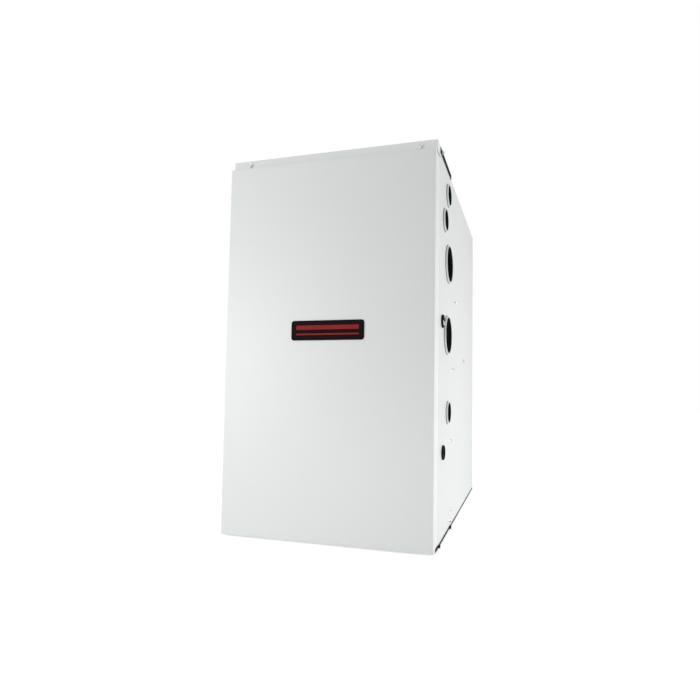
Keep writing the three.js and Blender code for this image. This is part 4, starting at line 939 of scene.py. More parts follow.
# ---- Cold header and inducer ----
# A ribbed black plastic header gathers the cooled gas. A small blower in a scroll housing, the
# inducer, draws it off, driven by a shaded pole motor with a cooling fan.
black_nylon = grained(
    "black_nylon", (0.022, 0.022, 0.024), 0.46,
    blotch=0.25, blotch_size=18, grain_size=1400, grain_depth=0.00003, spread=0.15,
)
softened("cold_header", "cabinet", black_nylon, radius=0.0015, segments=3)
header_low, header_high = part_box("cold_header")
header_face = header_low.y
rib_set = []
for i in range(9):
    x = -0.022 + i * 0.0205
    rib_set.append(
        block(
            "rib", (x, header_face - 0.004, header_low.z + 0.010),
            (x + 0.0022, header_face + 0.001, header_high.z - 0.008),
        )
    )
for height in (0.030, 0.065, 0.100):
    z = header_low.z + height
    rib_set.append(
        block("rib", (-0.028, header_face - 0.003, z), (0.150, header_face + 0.001, z + 0.0022))
    )
ribs = joined("header_ribs", *rib_set)
finished(ribs, 0.0005, "black_plastic", black_nylon)

housing_low, housing_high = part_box("inducer_housing")
inducer_axis = Vector((-0.110, 0, 0.500))
inducer_front = housing_low.y
inducer_back = housing_high.y
inducer_middle = (inducer_front + inducer_back) / 2
cutoff = radians(10)


def scroll(start, end, top, steps):
    """A scroll housing's outline about its axis, as (sideways, up), with its outlet upward."""
    points = []
    for i in range(steps + 1):
        share = i / steps
        angle = cutoff + share * (1.5 * pi - cutoff)
        radius = start + (end - start) * share
        points.append((-radius * sin(angle), radius * cos(angle)))
    points.append((end, top))
    points.append((points[0][0], top))
    return points


def drawn(name, points, depth):
    """An outline drawn point by point, closed, filled and drawn out along depth."""
    points = [Vector(point) for point in points]
    bpy.ops.object.select_all(action="DESELECT")
    bpy.ops.mesh.primitive_plane_add(size=0.0001, location=points[0])
    bpy.ops.object.transform_apply(location=True, rotation=True, scale=True)
    piece = bpy.context.active_object
    piece.name = name
    bpy.ops.object.mode_set(mode="EDIT")
    bpy.ops.mesh.select_mode(type="VERT")
    bpy.ops.mesh.select_all(action="SELECT")
    bpy.ops.mesh.merge(type="CENTER")
    for here, there in zip(points, points[1:] + points[:1]):
        bpy.ops.mesh.extrude_vertices_move(TRANSFORM_OT_translate={"value": there - here})
    bpy.ops.mesh.select_all(action="SELECT")
    bpy.ops.mesh.remove_doubles(threshold=0.00002)
    bpy.ops.mesh.edge_face_add()
    bpy.ops.mesh.extrude_region_move(TRANSFORM_OT_translate={"value": Vector(depth)})
    bpy.ops.mesh.select_all(action="SELECT")
    bpy.ops.mesh.normals_make_consistent(inside=False)
    bpy.ops.object.mode_set(mode="OBJECT")
    return piece


def inducer_outline(grow, y):
    flat = scroll(0.066 + grow, 0.092 + grow, 0.112, 48)
    return [(inducer_axis.x - u, y, inducer_axis.z + v) for u, v in flat]


cup = drawn(
    "inducer_cup", inducer_outline(0, inducer_front + 0.002),
    (0, inducer_back - inducer_front - 0.002, 0),
)
rim = drawn("inducer_rim", inducer_outline(0.0, inducer_front), (0, 0.004, 0))
flange = drawn("inducer_flange", [
    (inducer_axis.x + u, inducer_back - 0.004, inducer_axis.z + v)
    for u, v in ((-0.090, -0.075), (0.072, -0.075), (0.072, 0.082), (-0.090, 0.082))
], (0, 0.004, 0))
vent_x = (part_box("vent_pipe")[0].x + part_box("vent_pipe")[1].x) / 2
outlet_z = inducer_axis.z + 0.112
outlet_collar = turned("inducer_outlet", (vent_x, inducer_middle, outlet_z - 0.001), (0, 0, 1), [
    (0.0205, 0.0), (0.0230, 0.0), (0.0230, 0.016), (0.0205, 0.017), (0.0205, 0.0),
], sides=48)
port_x = inducer_axis.x + 0.022
port_top = inducer_axis.z + 0.086
port = turned("inducer_port", (port_x, inducer_middle, port_top - 0.028), (0, 0, 1), [
    (0, 0), (0.0045, 0), (0.0045, 0.012), (0.003, 0.014), (0.003, 0.022), (0.0036, 0.023),
    (0.003, 0.0265), (0.0022, 0.028), (0, 0.028),
], sides=20)
inducer_case = joined("inducer_case", cup, rim, flange, outlet_collar, port)
ease(inducer_case, 0.0010, segments=2)
fitted(inducer_case, "cabinet", "black_plastic", black_nylon, "inducer_housing")
for i, (u, v) in enumerate((
    (-0.083, -0.068), (0.065, -0.068), (0.065, 0.075), (-0.02, 0.098), (-0.083, 0.060),
)):
    depth = inducer_back - 0.004 if i != 3 else inducer_front
    screw(f"inducer_screw_{i}", (inducer_axis.x + u, depth, inducer_axis.z + v), (0, -1, 0))

black_enamel = grained(
    "black_enamel", (0.018, 0.018, 0.020), 0.38,
    blotch=0.3, blotch_size=25, grain_size=700, grain_depth=0.00005, spread=0.12,
)
motor_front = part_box("inducer_motor")[0].y
motor_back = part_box("inducer_motor")[1].y
shell_profile = [(0.0046, 0.0), (0.020, 0.0), (0.030, 0.002), (0.036, 0.006), (0.0378, 0.012)]
for k in range(6):
    y = 0.014 + k * 0.0055
    shell_profile += [(0.0378, y), (0.0420, y + 0.0004), (0.0420, y + 0.0030), (0.0378, y + 0.0034)]
motor_length = motor_back - motor_front
shell_profile += [
    (0.0378, motor_length - 0.006), (0.0480, motor_length - 0.004), (0.0480, motor_length),
    (0.0046, motor_length), (0.0046, 0.0),
]
inducer_can = turned(
    "inducer_can", (inducer_axis.x, motor_front, inducer_axis.z), (0, 1, 0), shell_profile, sides=56,
)
finished(inducer_can, 0.0, "black_paint", black_enamel, "inducer_motor")

wheel_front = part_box("inducer_wheel")[0].y
disc_y = inducer_front + 0.0065
blade_back = inducer_back - 0.0105
fan_parts = [turned("inducer_disc", (inducer_axis.x, 0, inducer_axis.z), (0, 1, 0), [
    (0, wheel_front), (0.0032, wheel_front), (0.0040, wheel_front + 0.001), (0.0040, disc_y),
    (0.0530, disc_y), (0.0540, disc_y + 0.0008), (0.0530, disc_y + 0.0018), (0.0100, disc_y + 0.0024),
    (0.0090, blade_back - 0.002), (0.0075, blade_back), (0, blade_back),
], sides=48)]
for i in range(14):
    turn = i * 2 * pi / 14
    vane = drawn("vane", [
        (0.0 + r * cos(a), disc_y + 0.001, r * sin(a))
        for r, a in (
            (0.020, 0.0), (0.036, 0.14), (0.052, 0.36), (0.0525, 0.33), (0.037, 0.10),
            (0.0205, -0.05),
        )
    ], (0, blade_back - disc_y - 0.003, 0))
    vane.data.transform(Matrix.Translation(inducer_axis) @ Matrix.Rotation(turn, 4, "Y"))
    fan_parts.append(vane)
inducer_fan = joined("inducer_fan", *fan_parts)
finished(inducer_fan, 0.0, "aluminium", brushed, "inducer_wheel", body="inducer_rotor")

# ---- Vent pipe ----
# A length of white plastic pipe is clamped on the inducer's outlet and leaves through the top.
white_pvc = grained(
    "white_pvc", (0.76, 0.76, 0.73), 0.34,
    blotch=0.04, blotch_size=14, grain_size=500, grain_depth=0.00002, spread=0.10,
)
pipe_low, pipe_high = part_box("vent_pipe")
pipe = turned("vent_pipe_length", (vent_x, inducer_middle, 0), (0, 0, 1), [
    (0.0234, pipe_low.z), (0.0300, pipe_low.z), (0.0300, pipe_high.z - 0.001), (0.0292, pipe_high.z),
    (0.0270, pipe_high.z), (0.0270, pipe_low.z + 0.019), (0.0234, pipe_low.z + 0.017),
    (0.0234, pipe_low.z),
], sides=72)
finished(pipe, 0.0, "white_plastic", white_pvc, "vent_pipe")
clamp_z = pipe_low.z + 0.006
clamp = turned("vent_clamp", (vent_x, inducer_middle, clamp_z), (0, 0, 1), [
    (0.0301, 0.0), (0.0309, 0.0), (0.0311, 0.0015), (0.0309, 0.0090), (0.0301, 0.0090), (0.0301, 0.0),
], sides=72)
clamp_head = turned("clamp_head", (vent_x - 0.006, inducer_front - 0.0075, clamp_z + 0.0045), (1, 0, 0), [
    (0, 0.0), (0.0042, 0.0), (0.0042, 0.004), (0.0030, 0.0045), (0.0030, 0.012), (0.0024, 0.013),
    (0, 0.013),
], sides=16)
clamp = joined("vent_clamp", clamp, clamp_head)
finished(clamp, 0.0002, "galvanized_steel", zinc)

# ---- Pressure switch and its hose ----
# A round two-part switch on the partition feels the inducer's pull through a soft black hose.
grey_case = grained(
    "grey_case", (0.24, 0.25, 0.26), 0.5,
    blotch=0.12, blotch_size=22, grain_size=1200, grain_depth=0.00003, spread=0.12,
)
switch_low, switch_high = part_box("pressure_switch")
switch_x = switch_high.x - 0.034
switch_z = (switch_low.z + switch_high.z) / 2
port_y = partition_y - 0.0003 - 0.014
body_front = switch_low.y
switch_disc = turned("pressure_disc", (switch_x, body_front, switch_z), (0, 1, 0), [
    (0, 0.0), (0.0060, 0.0), (0.0066, 0.0006), (0.0066, 0.0030), (0.0120, 0.0030), (0.0132, 0.0060),
    (0.0200, 0.0066), (0.0210, 0.0080), (0.0300, 0.0086), (0.0332, 0.0096), (0.0340, 0.0110),
    (0.0340, 0.0136), (0.0334, 0.0140), (0.0334, 0.0144), (0.0340, 0.0148), (0.0340, 0.0176),
    (0.0328, 0.0190), (0.0300, 0.0200), (0.0296, 0.0280), (0, 0.0280),
], sides=64)
switch_port = turned("pressure_port", (switch_x - 0.044, port_y, switch_z), (1, 0, 0), [
    (0, 0), (0.0022, 0), (0.0030, 0.0015), (0.0030, 0.012), (0.0045, 0.0125), (0.0045, 0.016),
    (0, 0.016),
], sides=20)
tabs = [
    block(
        "tab", (switch_x + x, body_front - 0.0065, switch_z - 0.0032),
        (switch_x + x + 0.0008, body_front + 0.004, switch_z + 0.0032),
    )
    for x in (-0.0035, 0.0027)
]
pressure = joined("pressure_switch_case", switch_disc, switch_port, *tabs)
finished(pressure, 0.0002, "grey_plastic", grey_case, "pressure_switch")


def bent_hose(name, bend, radius, node, material):
    """A hose on one smooth bend: leaving point, two pulls and arriving point."""
    a, b, c, d = (Vector(point) for point in bend)
    points = []
    for i in range(33):
        t = i / 32
        s = 1 - t
        points.append(s ** 3 * a + 3 * s * s * t * b + 3 * s * t * t * c + t ** 3 * d)
    line = bpy.data.curves.new(name, "CURVE")
    line.dimensions = "3D"
    line.bevel_depth = radius
    line.bevel_resolution = 6
    line.use_fill_caps = True
    spline = line.splines.new("POLY")
    spline.points.add(len(points) - 1)
    for spot, point in zip(spline.points, points):
        spot.co = (*point, 1)
    hose = bpy.data.objects.new(name, line)
    scene.collection.objects.link(hose)
    fitted(hose, "cabinet", "rubber", material, node)


hose_start = Vector((switch_x - 0.044 - 0.0003, port_y, switch_z))
hose_end = Vector((port_x, inducer_middle, port_top + 0.0003))
hose_pull = (hose_start.z - hose_end.z) * 0.8
bent_hose("switch_hose", (
    hose_start, hose_start - Vector((hose_pull, 0, 0)), hose_end + Vector((0, 0, hose_pull)),
    hose_end,
), 0.005, "pressure_hose", black_rubber_and_painted_shade)

# ---- Condensate trap and drain ----
# Water from the header runs into a moulded white trap with a screwed cap, and on through a hose
# to the drain hole in the side.
trap_low, trap_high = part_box("condensate_trap")
softened("condensate_trap", "cabinet", white_pvc, radius=0.0018, segments=3)
cap_x = (trap_low.x + trap_high.x) / 2
cap_y = header_low.y + 0.021
cap = turned("trap_cap", (cap_x, cap_y, trap_high.z - 0.0005), (0, 0, 1), [
    (0, 0), (0.0162, 0), (0.0162, 0.0035), (0.0150, 0.0045), (0.0060, 0.0045), (0.0050, 0.0030),
    (0, 0.0030),
], sides=12)
finished(cap, 0.0006, "white_plastic", white_pvc)
drain_start = Vector((cap_x, trap_low.y - 0.0003, deck_top + 0.0203))
drain_hole_low, drain_hole_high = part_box("right_bushing_drain")
drain_y = (drain_hole_low.y + drain_hole_high.y) / 2
drain_z = (drain_hole_low.z + drain_hole_high.z) / 2
drain_end = Vector((drain_hole_high.x - 0.0008, drain_y, drain_z))
pale_vinyl = grained(
    "pale_vinyl", (0.72, 0.73, 0.70), 0.34,
    blotch=0.06, blotch_size=40, grain_size=900, grain_depth=0.00002, spread=0.12,
)
bent_hose("drain_line", (
    drain_start, drain_start + Vector((0, -0.030, 0.020)), drain_end - Vector((0.035, 0, 0.020)),
    drain_end,
), 0.008, "drain_hose", pale_vinyl)

# ---- Burners and gas train ----
# Three pressed steel burners stand in a rack in front of the tubes. A black manifold pipe feeds
# them from the die-cast gas valve, which takes the gas pipe through the right side.
softened("burner_rack", "cabinet", galvanized)
for x, side in ((-tube_pitch, "left"), (0, "middle"), (tube_pitch, "right")):
    node = "burner_" + side
    front_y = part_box(node)[0].y
    throat = turned(node + "_body", (x, front_y, burner_z), (0, 1, 0), [
        (0.0150, 0.0), (0.0170, 0.0), (0.0170, 0.0020), (0.0150, 0.0060), (0.0128, 0.0110),
        (0.0118, 0.0160),
        (0.0118, 0.0380), (0.0120, 0.0620), (0.0132, 0.0650), (0.0176, 0.0690), (0.0190, 0.0710),
        (0.0190, 0.0895), (0.0184, 0.0905), (0.0190, 0.0915), (0.0190, 0.0920), (0.0172, 0.0920),
        (0.0172, 0.0715), (0.0105, 0.0660), (0.0102, 0.0160), (0.0135, 0.0060), (0.0150, 0.0020),
        (0.0150, 0.0),
    ], sides=48)
    spokes = [
        block(
            "spoke", (x - 0.0168, front_y + 0.080, burner_z - 0.0006),
            (x + 0.0168, front_y + 0.082, burner_z + 0.0006),
        )
    ]
    for turn in (60, 120):
        spoke = block("spoke", (-0.0168, 0.080, -0.0006), (0.0168, 0.082, 0.0006))
        spoke.data.transform(
            Matrix.Translation((x, front_y, burner_z)) @ Matrix.Rotation(radians(turn), 4, "Y")
        )
        spokes.append(spoke)
    burner = joined(node + "_body", throat, *spokes)
    finished(burner, 0.0, "aluminized_steel", aluminized, node)
for i, x in enumerate((-0.128, -0.0475, 0.0475, 0.134)):
    screw(f"rack_screw_{i}", (x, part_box("burner_rack")[0].y, burner_z - 0.018), (0, -1, 0))

manifold_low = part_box("gas_manifold")[0]
valve_x = 0.167
valve_top = 0.760
manifold_y = partition_y - 0.115
manifold_parts = [turned("manifold_pipe", (manifold_low.x, manifold_y, burner_z), (1, 0, 0), [
    (0, 0.0), (0.0125, 0.0), (0.0135, 0.0010), (0.0135, 0.0120), (0.0120, 0.0140), (0.0105, 0.0145),
    (0.0105, valve_x - manifold_low.x - 0.022), (0.0135, valve_x - manifold_low.x - 0.020),
    (0.0135, valve_x - manifold_low.x - 0.006), (0.0120, valve_x - manifold_low.x - 0.003),
    (0.0120, valve_x - manifold_low.x), (0, valve_x - manifold_low.x),
], sides=32)]
bpy.ops.object.select_all(action="DESELECT")
bpy.ops.mesh.primitive_uv_sphere_add(
    segments=32, ring_count=16, radius=0.0135, location=(valve_x, manifold_y, burner_z),
)
bpy.ops.object.transform_apply(location=True, rotation=True, scale=True)
elbow = bpy.context.active_object
manifold_parts.append(elbow)
manifold_parts.append(turned("manifold_drop", (valve_x, manifold_y, valve_top + 0.0095), (0, 0, 1), [
    (0, 0), (0.0105, 0), (0.0105, 0.004), (0.0135, 0.005), (0.0135, burner_z - valve_top - 0.0105),
    (0, burner_z - valve_top - 0.0105),
], sides=32))
for x in (-tube_pitch, 0, tube_pitch):
    spud_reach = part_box("burner_middle")[0].y - manifold_y
    manifold_parts.append(turned("spud", (x, manifold_y, burner_z), (0, 1, 0), [
        (0, 0.004), (0.0080, 0.004), (0.0080, 0.0135), (0.0072, 0.0150), (0.0050, 0.0155),
        (0.0050, spud_reach + 0.001), (0.0036, spud_reach + 0.003), (0, spud_reach + 0.003),
    ], sides=6))
rack_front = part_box("burner_rack")[0].y
for x in (-tube_pitch / 2, tube_pitch / 2):
    manifold_parts.append(
        block(
            "manifold_tab", (x - 0.007, manifold_y, burner_z + 0.002),
            (x + 0.007, rack_front - 0.0003, burner_z + 0.004),
        )
    )
manifold = joined("manifold_train", *manifold_parts)
finished(manifold, 0.0003, "black_paint", black_enamel, "gas_manifold")

cast_aluminium = grained(
    "cast_aluminium", (0.55, 0.56, 0.57), 0.44,
    blotch=0.12, blotch_size=60, grain_size=1600, grain_depth=0.00006, spread=0.18, metallic=1.0,
)
softened("gas_valve", "cabinet", cast_aluminium, radius=0.0012, segments=3)
valve_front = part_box("gas_valve_switch")[1].y + 0.0003
cover = block(
    "valve_cover", (valve_x - 0.030, valve_front - 0.0020, 0.700),
    (valve_x + 0.030, valve_front + 0.001, 0.7255),
)
regulator = turned("valve_regulator", (valve_x + 0.022, valve_front + 0.038, valve_top + 0.0149), (0, 0, 1), [
    (0, 0), (0.0102, 0), (0.0102, 0.0012), (0.0094, 0.0020), (0.0030, 0.0020), (0.0026, 0.0010),
    (0, 0.0010),
], sides=28)
coil_cap = turned("valve_coil", (valve_x - 0.018, valve_front + 0.030, valve_top - 0.0002), (0, 0, 1), [
    (0, 0), (0.0150, 0), (0.0150, 0.0140), (0.0138, 0.0160), (0.0060, 0.0160), (0.0054, 0.0175),
    (0, 0.0175),
], sides=32)
valve_dress = joined("valve_covers", cover, regulator, coil_cap)
finished(valve_dress, 0.0006, "black_plastic", black_nylon)
for i, (x, z) in enumerate(((-0.024, 0.7055), (0.024, 0.7055), (-0.024, 0.7205), (0.024, 0.7205))):
    stud = turned(f"valve_stud_{i}", (valve_x + x, valve_front - 0.0020, z), (0, -1, 0), [
        (0, 0), (0.0024, 0), (0.0026, 0.0008), (0.0020, 0.0018), (0, 0.0020),
    ], sides=16)
    finished(stud, 0.0, "galvanized_steel", zinc)
white_nylon = grained(
    "white_nylon", (0.80, 0.79, 0.74), 0.42,
    blotch=0.05, blotch_size=40, grain_size=1500, grain_depth=0.00002, spread=0.10,
)
softened("gas_valve_switch", "valve_switch", white_nylon, radius=0.0006)

ceramic = grained(
    "bare_ceramic", (0.72, 0.70, 0.63), 0.72,
    blotch=0.10, blotch_size=90, grain_size=900, grain_depth=0.00008, spread=0.10,
)
softened("igniter", "cabinet", ceramic, radius=0.0004)
softened("flame_sensor", "cabinet", ceramic, radius=0.0002)
softened("limit_switch", "cabinet", white_nylon, radius=0.0004)

# ---- Blower ----
# A wide wheel with many forward-curved blades turns in a galvanized scroll housing under the
# deck. Its motor sits in the left inlet, held by a band with three arms.
blower_axis = Vector((0, 0.0815, 0.2228))
shell_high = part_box("blower_housing")[1]
outlet_top = shell_high.z
shell_half = 0.117
inlet_radius = 0.099
blower_flat = scroll(0.133, 0.188, outlet_top - blower_axis.z, 60)
shell = drawn(
    "blower_shell",
    [(-shell_half, blower_axis.y + u, blower_axis.z + v) for u, v in blower_flat],
    (2 * shell_half, 0, 0),
)
bpy.ops.object.mode_set(mode="EDIT")
pick_faces(
    shell, lambda face: face.normal.z > 0.99 and face.calc_center_median().z > outlet_top - 0.001,
)
bpy.ops.mesh.delete(type="FACE")
bpy.ops.object.mode_set(mode="OBJECT")
wall = shell.modifiers.new("wall", "SOLIDIFY")
wall.thickness = sheet
wall.offset = -1
wall.use_even_offset = True
bpy.ops.object.modifier_apply(modifier=wall.name)
bpy.ops.object.select_all(action="DESELECT")
bpy.ops.mesh.primitive_cylinder_add(
    vertices=96, radius=inlet_radius, depth=0.3, location=blower_axis, rotation=(0, radians(90), 0),
)
bpy.ops.object.transform_apply(location=True, rotation=True, scale=True)
drill = bpy.context.active_object
bpy.context.view_layer.objects.active = shell
hole = shell.modifiers.new("hole", "BOOLEAN")
hole.operation = "DIFFERENCE"
hole.object = drill
bpy.ops.object.modifier_apply(modifier=hole.name)
bpy.data.objects.remove(drill)
inlets = [turned("blower_inlet", (side * (shell_half - 0.0012), blower_axis.y, blower_axis.z), (side, 0, 0), [
    (inlet_radius, -0.004), (inlet_radius + 0.0005, 0.0030), (inlet_radius + 0.0020, 0.0052),
    (inlet_radius + 0.0050, 0.0060), (inlet_radius + 0.0100, 0.0040), (inlet_radius + 0.0130, 0.0013),
    (inlet_radius + 0.0120, 0.0012), (inlet_radius + 0.0090, 0.0030), (inlet_radius + 0.0050, 0.0048),
    (inlet_radius + 0.0028, 0.0042), (inlet_radius + 0.0014, 0.0028), (inlet_radius + 0.0010, -0.004),
    (inlet_radius, -0.004),
], sides=96) for side in (-1, 1)]
outlet_front = blower_axis.y - 0.133 * sin(cutoff)
outlet_back = blower_axis.y + 0.188
rim_out = 0.014
outlet_flange = [
    block(
        "flange", (-shell_half - rim_out, outlet_front - rim_out, outlet_top - sheet),
        (shell_half + rim_out, outlet_front, outlet_top),
    ),
    block(
        "flange", (-shell_half - rim_out, outlet_back, outlet_top - sheet),
        (shell_half + rim_out, outlet_back + rim_out, outlet_top),
    ),
    block(
        "flange", (-shell_half - rim_out, outlet_front, outlet_top - sheet),
        (-shell_half, outlet_back, outlet_top),
    ),
    block(
        "flange", (shell_half, outlet_front, outlet_top - sheet),
        (shell_half + rim_out, outlet_back, outlet_top),
    ),
]
blower_case = joined("blower_case", shell, *inlets, *outlet_flange)
finished(blower_case, 0.0, "galvanized_steel", galvanized, "blower_housing")

wheel_half = 0.104
blade_root = 0.101
wheel_parts = []
for side in (-1, 1):
    wheel_parts.append(turned("wheel_rim", (side * wheel_half, blower_axis.y, blower_axis.z), (-side, 0, 0), [
        (0.1005, 0.0), (0.1195, 0.0), (0.1200, 0.0010), (0.1200, 0.0050), (0.1185, 0.0050),
        (0.1185, 0.0020), (0.1015, 0.0020), (0.1005, 0.0010), (0.1005, 0.0),
    ], sides=96))
wheel_parts.append(turned("wheel_web", (0, blower_axis.y, blower_axis.z), (1, 0, 0), [
    (0.0067, -0.020), (0.0150, -0.020), (0.0160, -0.019), (0.0160, -0.0020), (0.0300, -0.0012),
    (0.0340, 0.0030), (0.0800, 0.0030), (0.0840, -0.0010), (0.1190, -0.0012), (0.1190, 0.0008),
    (0.0850, 0.0010), (0.0810, 0.0050), (0.0330, 0.0050), (0.0290, 0.0010), (0.0160, 0.0020),
    (0.0160, 0.019), (0.0150, 0.020), (0.0067, 0.020), (0.0067, -0.020),
], sides=72))
blade = drawn("blade", [
    (-wheel_half + 0.003, r * cos(a), r * sin(a))
    for r, a in (
        (blade_root, 0.0), (0.106, 0.020), (0.112, 0.065), (0.118, 0.140),
        (0.1184, 0.136), (0.1124, 0.060), (0.1063, 0.014), (blade_root, -0.006),
    )
], (2 * wheel_half - 0.006, 0, 0))
for i in range(44):
    one = bpy.data.objects.new(f"blade_{i}", blade.data.copy())
    scene.collection.objects.link(one)
    one.data.transform(Matrix.Translation(blower_axis) @ Matrix.Rotation(i * 2 * pi / 44, 4, "X"))
    wheel_parts.append(one)
bpy.data.objects.remove(blade)
blower_fan = joined("blower_fan", *wheel_parts)
finished(blower_fan, 0.0, "galvanized_steel", galvanized, "blower_wheel", body="blower_rotor")

shaft_low, shaft_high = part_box("blower_shaft")
shaft = turned("blower_axle", (shaft_low.x, blower_axis.y, blower_axis.z), (1, 0, 0), [
    (0, 0), (0.0056, 0), (0.00635, 0.0008), (0.00635, shaft_high.x - shaft_low.x - 0.0008),
    (0.0056, shaft_high.x - shaft_low.x), (0, shaft_high.x - shaft_low.x),
], sides=32)
finished(shaft, 0.0, "aluminium", brushed, "blower_shaft", body="blower_rotor")

motor_low, motor_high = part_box("blower_motor")
motor_span = motor_high.x - motor_low.x
motor_parts = [turned("motor_shell", (motor_low.x, blower_axis.y, blower_axis.z), (1, 0, 0), [
    (0.0067, 0.0), (0.0200, 0.0), (0.0220, 0.0020), (0.0360, 0.0026), (0.0400, 0.0050),
    (0.0560, 0.0080),
    (0.0650, 0.0120), (0.0676, 0.0150), (0.0680, 0.0160), (0.0680, 0.0190), (0.0672, 0.0196),
    (0.0672, motor_span - 0.0196), (0.0680, motor_span - 0.0190), (0.0680, motor_span - 0.0160),
    (0.0650, motor_span - 0.0120), (0.0500, motor_span - 0.0060), (0.0300, motor_span - 0.0010),
    (0.0210, motor_span), (0.0067, motor_span), (0.0067, 0.0),
], sides=72)]
for i in range(4):
    turn = radians(45 + 90 * i)
    centre = Vector((0, 0.0615 * cos(turn), 0.0615 * sin(turn)))
    stud_foot = (motor_low.x + 0.0065, blower_axis.y + centre.y, blower_axis.z + centre.z)
    stud = turned("motor_stud", stud_foot, (1, 0, 0), [
        (0, 0), (0.0022, 0), (0.0022, 0.004), (0.0042, 0.004), (0.0042, 0.008), (0, 0.008),
    ], sides=12)
    motor_parts.append(stud)
blower_drive = joined("blower_drive", *motor_parts)
finished(blower_drive, 0.0, "black_paint", black_enamel, "blower_motor")
softened("motor_mount", "cabinet", galvanized, radius=0.0005)

# ---- Controls ----
# A galvanized bracket hangs under the deck with the control board and the transformer on it. The
# door switch sits at the deck's edge, and the supply wires join in a box on the left side.
softened("control_bracket", "cabinet", galvanized)

board_low, board_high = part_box("control_board")
board_middle = (board_low + board_high) / 2
board_green = new_material("printed_board", 0.42)
board_nodes = board_green.node_tree.nodes
board_links = board_green.node_tree.links
board_place = board_nodes.new("ShaderNodeTexCoord")
board_tracks = board_nodes.new("ShaderNodeTexVoronoi")
board_tracks.distance = "MANHATTAN"
board_tracks.feature = "DISTANCE_TO_EDGE"
board_tracks.inputs["Scale"].default_value = 190
board_links.new(board_place.outputs["Object"], board_tracks.inputs["Vector"])
board_line = node_value(board_nodes, board_links, "LESS_THAN", board_tracks.outputs["Distance"], 0.06)
board_colour = blend_colour(
    board_nodes, board_links, board_line, (0.012, 0.085, 0.035), (0.035, 0.17, 0.075),
)
board_links.new(board_colour, board_nodes["Principled BSDF"].inputs["Base Color"])
board_bump = board_nodes.new("ShaderNodeBump")
board_bump.inputs["Distance"].default_value = 0.00003
board_links.new(board_line, board_bump.inputs["Height"])
board_links.new(board_bump.outputs["Normal"], board_nodes["Principled BSDF"].inputs["Normal"])
board_back = board_high.y
plate = block(
    "board_plate", (board_low.x, board_back - 0.010, board_low.z),
    (board_high.x, board_back - 0.008, board_high.z),
)
stands = []
for x in (board_low.x + 0.008, board_high.x - 0.008):
    for z in (board_low.z + 0.008, board_high.z - 0.008):
        stands.append(turned("stand", (x, board_back - 0.0085, z), (0, 1, 0), [
            (0, 0), (0.003, 0), (0.003, 0.0085), (0, 0.0085),
        ], sides=16))
board = joined("board_plate", plate, *stands)
finished(board, 0.0001, "circuit_board", board_green, "control_board")


def on_board(name, across, up, wide, high, deep, material, slot):
    """A part on the board. Place and size are shares of the board, from its middle."""
    x = board_middle.x + across * 0.150
    z = board_middle.z + up * 0.110
    half_x = wide * 0.150 / 2
    half_z = high * 0.110 / 2
    part = block(
        name, (x - half_x, board_back - 0.010 - deep, z - half_z),
        (x + half_x, board_back - 0.010, z + half_z),
    )
    return finished(part, 0.0006, slot, material)


for i, across in enumerate((-0.3, -0.07, 0.16)):
    on_board(f"relay_{i}", across, 0.27, 0.19, 0.20, 0.016, black_nylon, "black_plastic")
on_board("edge_plug", 0.39, 0.09, 0.09, 0.54, 0.012, white_nylon, "white_plastic")
on_board("harness_plug", -0.27, -0.32, 0.33, 0.11, 0.012, white_nylon, "white_plastic")
on_board("thermostat_strip", 0.12, -0.32, 0.24, 0.09, 0.012, grey_case, "grey_plastic")
on_board("small_relay", -0.34, -0.05, 0.08, 0.22, 0.014, white_nylon, "white_plastic")
on_board("chip", 0.0, -0.07, 0.27, 0.20, 0.003, black_nylon, "black_plastic")
pins = []
for i in range(8):
    x = board_middle.x + 0.39 * 0.150
    z = board_middle.z + (0.09 + (i - 3.5) * 0.062) * 0.110
    pins.append(
        block(
            "pin", (x - 0.004, board_back - 0.0235, z - 0.0016),
            (x + 0.004, board_back - 0.0215, z + 0.0016),
        )
    )
for i in range(10):
    x = board_middle.x + (-0.27 + (i - 4.5) * 0.031) * 0.150
    z = board_middle.z - 0.32 * 0.110
    pins.append(
        block(
            "pin", (x - 0.0014, board_back - 0.0235, z - 0.0038),
            (x + 0.0014, board_back - 0.0215, z + 0.0038),
        )
    )
for i in range(5):
    x = board_middle.x + (0.12 + (i - 2) * 0.045) * 0.150
    z = board_middle.z - 0.32 * 0.110
    pins.append(turned("pin", (x, board_back - 0.0215, z), (0, -1, 0), [
        (0, 0), (0.0024, 0), (0.0026, 0.0006), (0.0020, 0.0016), (0, 0.0018),
    ], sides=12))
for i in range(6):
    x = board_middle.x + (-0.10 + i * 0.06) * 0.150
    z = board_middle.z + 0.105 * 0.110
    pins.append(turned("pin", (x, board_back - 0.0100, z), (0, -1, 0), [
        (0, 0), (0.0030, 0), (0.0030, 0.0080), (0.0024, 0.0090), (0, 0.0090),
    ], sides=14))
board_pins = joined("board_pins", *pins)
finished(board_pins, 0.0, "galvanized_steel", zinc)

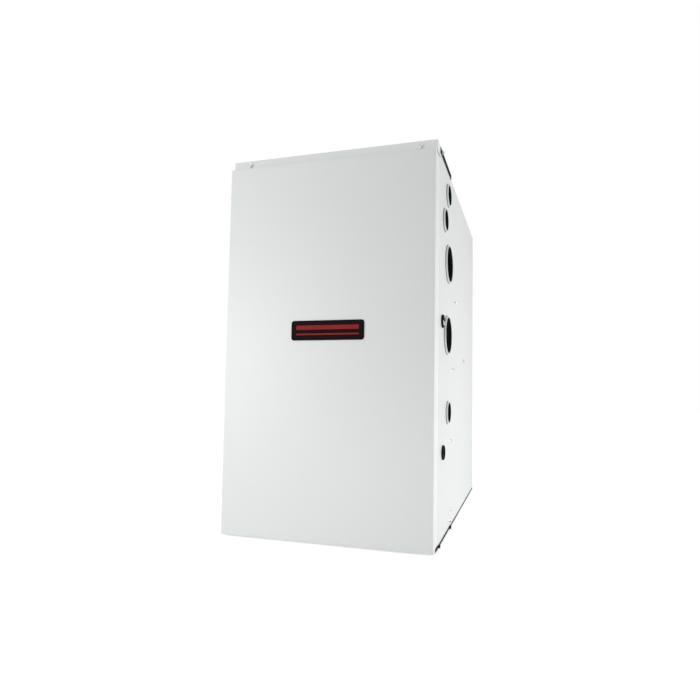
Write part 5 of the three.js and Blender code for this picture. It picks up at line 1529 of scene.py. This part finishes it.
trafo_low, trafo_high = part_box("transformer")
trafo_back = trafo_high.y
trafo_x = (trafo_low.x + trafo_high.x) / 2
trafo_z = (trafo_low.z + trafo_high.z) / 2
laminations = []
for i in range(11):
    y = trafo_back - 0.0335 + i * 0.0029
    laminations.append(
        block(
            "lamination", (trafo_x - 0.031, y, trafo_low.z + 0.0002),
            (trafo_x + 0.031, y + 0.0025, trafo_high.z - 0.0002),
        )
    )
foot = block(
    "foot", (trafo_low.x, trafo_back - 0.0020, trafo_z - 0.016),
    (trafo_high.x, trafo_back, trafo_z + 0.016),
)
core = joined("transformer_core", *laminations, foot)
finished(core, 0.0003, "black_paint", black_enamel, "transformer")
winding = block(
    "transformer_winding", (trafo_x - 0.021, trafo_low.y + 0.0002, trafo_z - 0.0166),
    (trafo_x + 0.021, trafo_back - 0.0334, trafo_z + 0.0166),
)
ease(winding, 0.0035, segments=4)
lacquer = grained(
    "amber_lacquer", (0.30, 0.13, 0.035), 0.30,
    blotch=0.4, blotch_size=90, grain_size=700, grain_depth=0.00015, spread=0.1,
)
fitted(winding, "cabinet", "black_paint", lacquer)
for i, x in enumerate((trafo_low.x + 0.005, trafo_high.x - 0.005)):
    screw(f"transformer_screw_{i}", (x, trafo_back - 0.0020, trafo_z), (0, -1, 0))
softened("door_switch", "cabinet", black_nylon, radius=0.0006)
plunger_low, plunger_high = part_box("door_switch_plunger")
plunger_middle = (plunger_low + plunger_high) / 2
plunger_foot = (plunger_middle.x, plunger_low.y, plunger_middle.z)
stem = turned("switch_plunger", plunger_foot, (0, 1, 0), [
    (0, 0), (0.0026, 0), (0.0036, 0.0006), (0.0040, 0.0014), (0.0040, plunger_high.y - plunger_low.y),
    (0, plunger_high.y - plunger_low.y),
], sides=32)
finished(stem, 0.0, "white_plastic", white_nylon, "door_switch_plunger", body="plunger")
softened("junction_box", "cabinet", galvanized)
softened("junction_box_cover", "cabinet", galvanized)
cover_low, cover_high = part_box("junction_box_cover")
for i, z in enumerate((cover_low.z + 0.010, cover_high.z - 0.010)):
    screw(f"cover_screw_{i}", (cover_high.x, (cover_low.y + cover_high.y) / 2, z), to_right)

# ---- Tidying ----
# The screw that served as the model for the copies is removed.
bpy.data.objects.remove(screw_model)
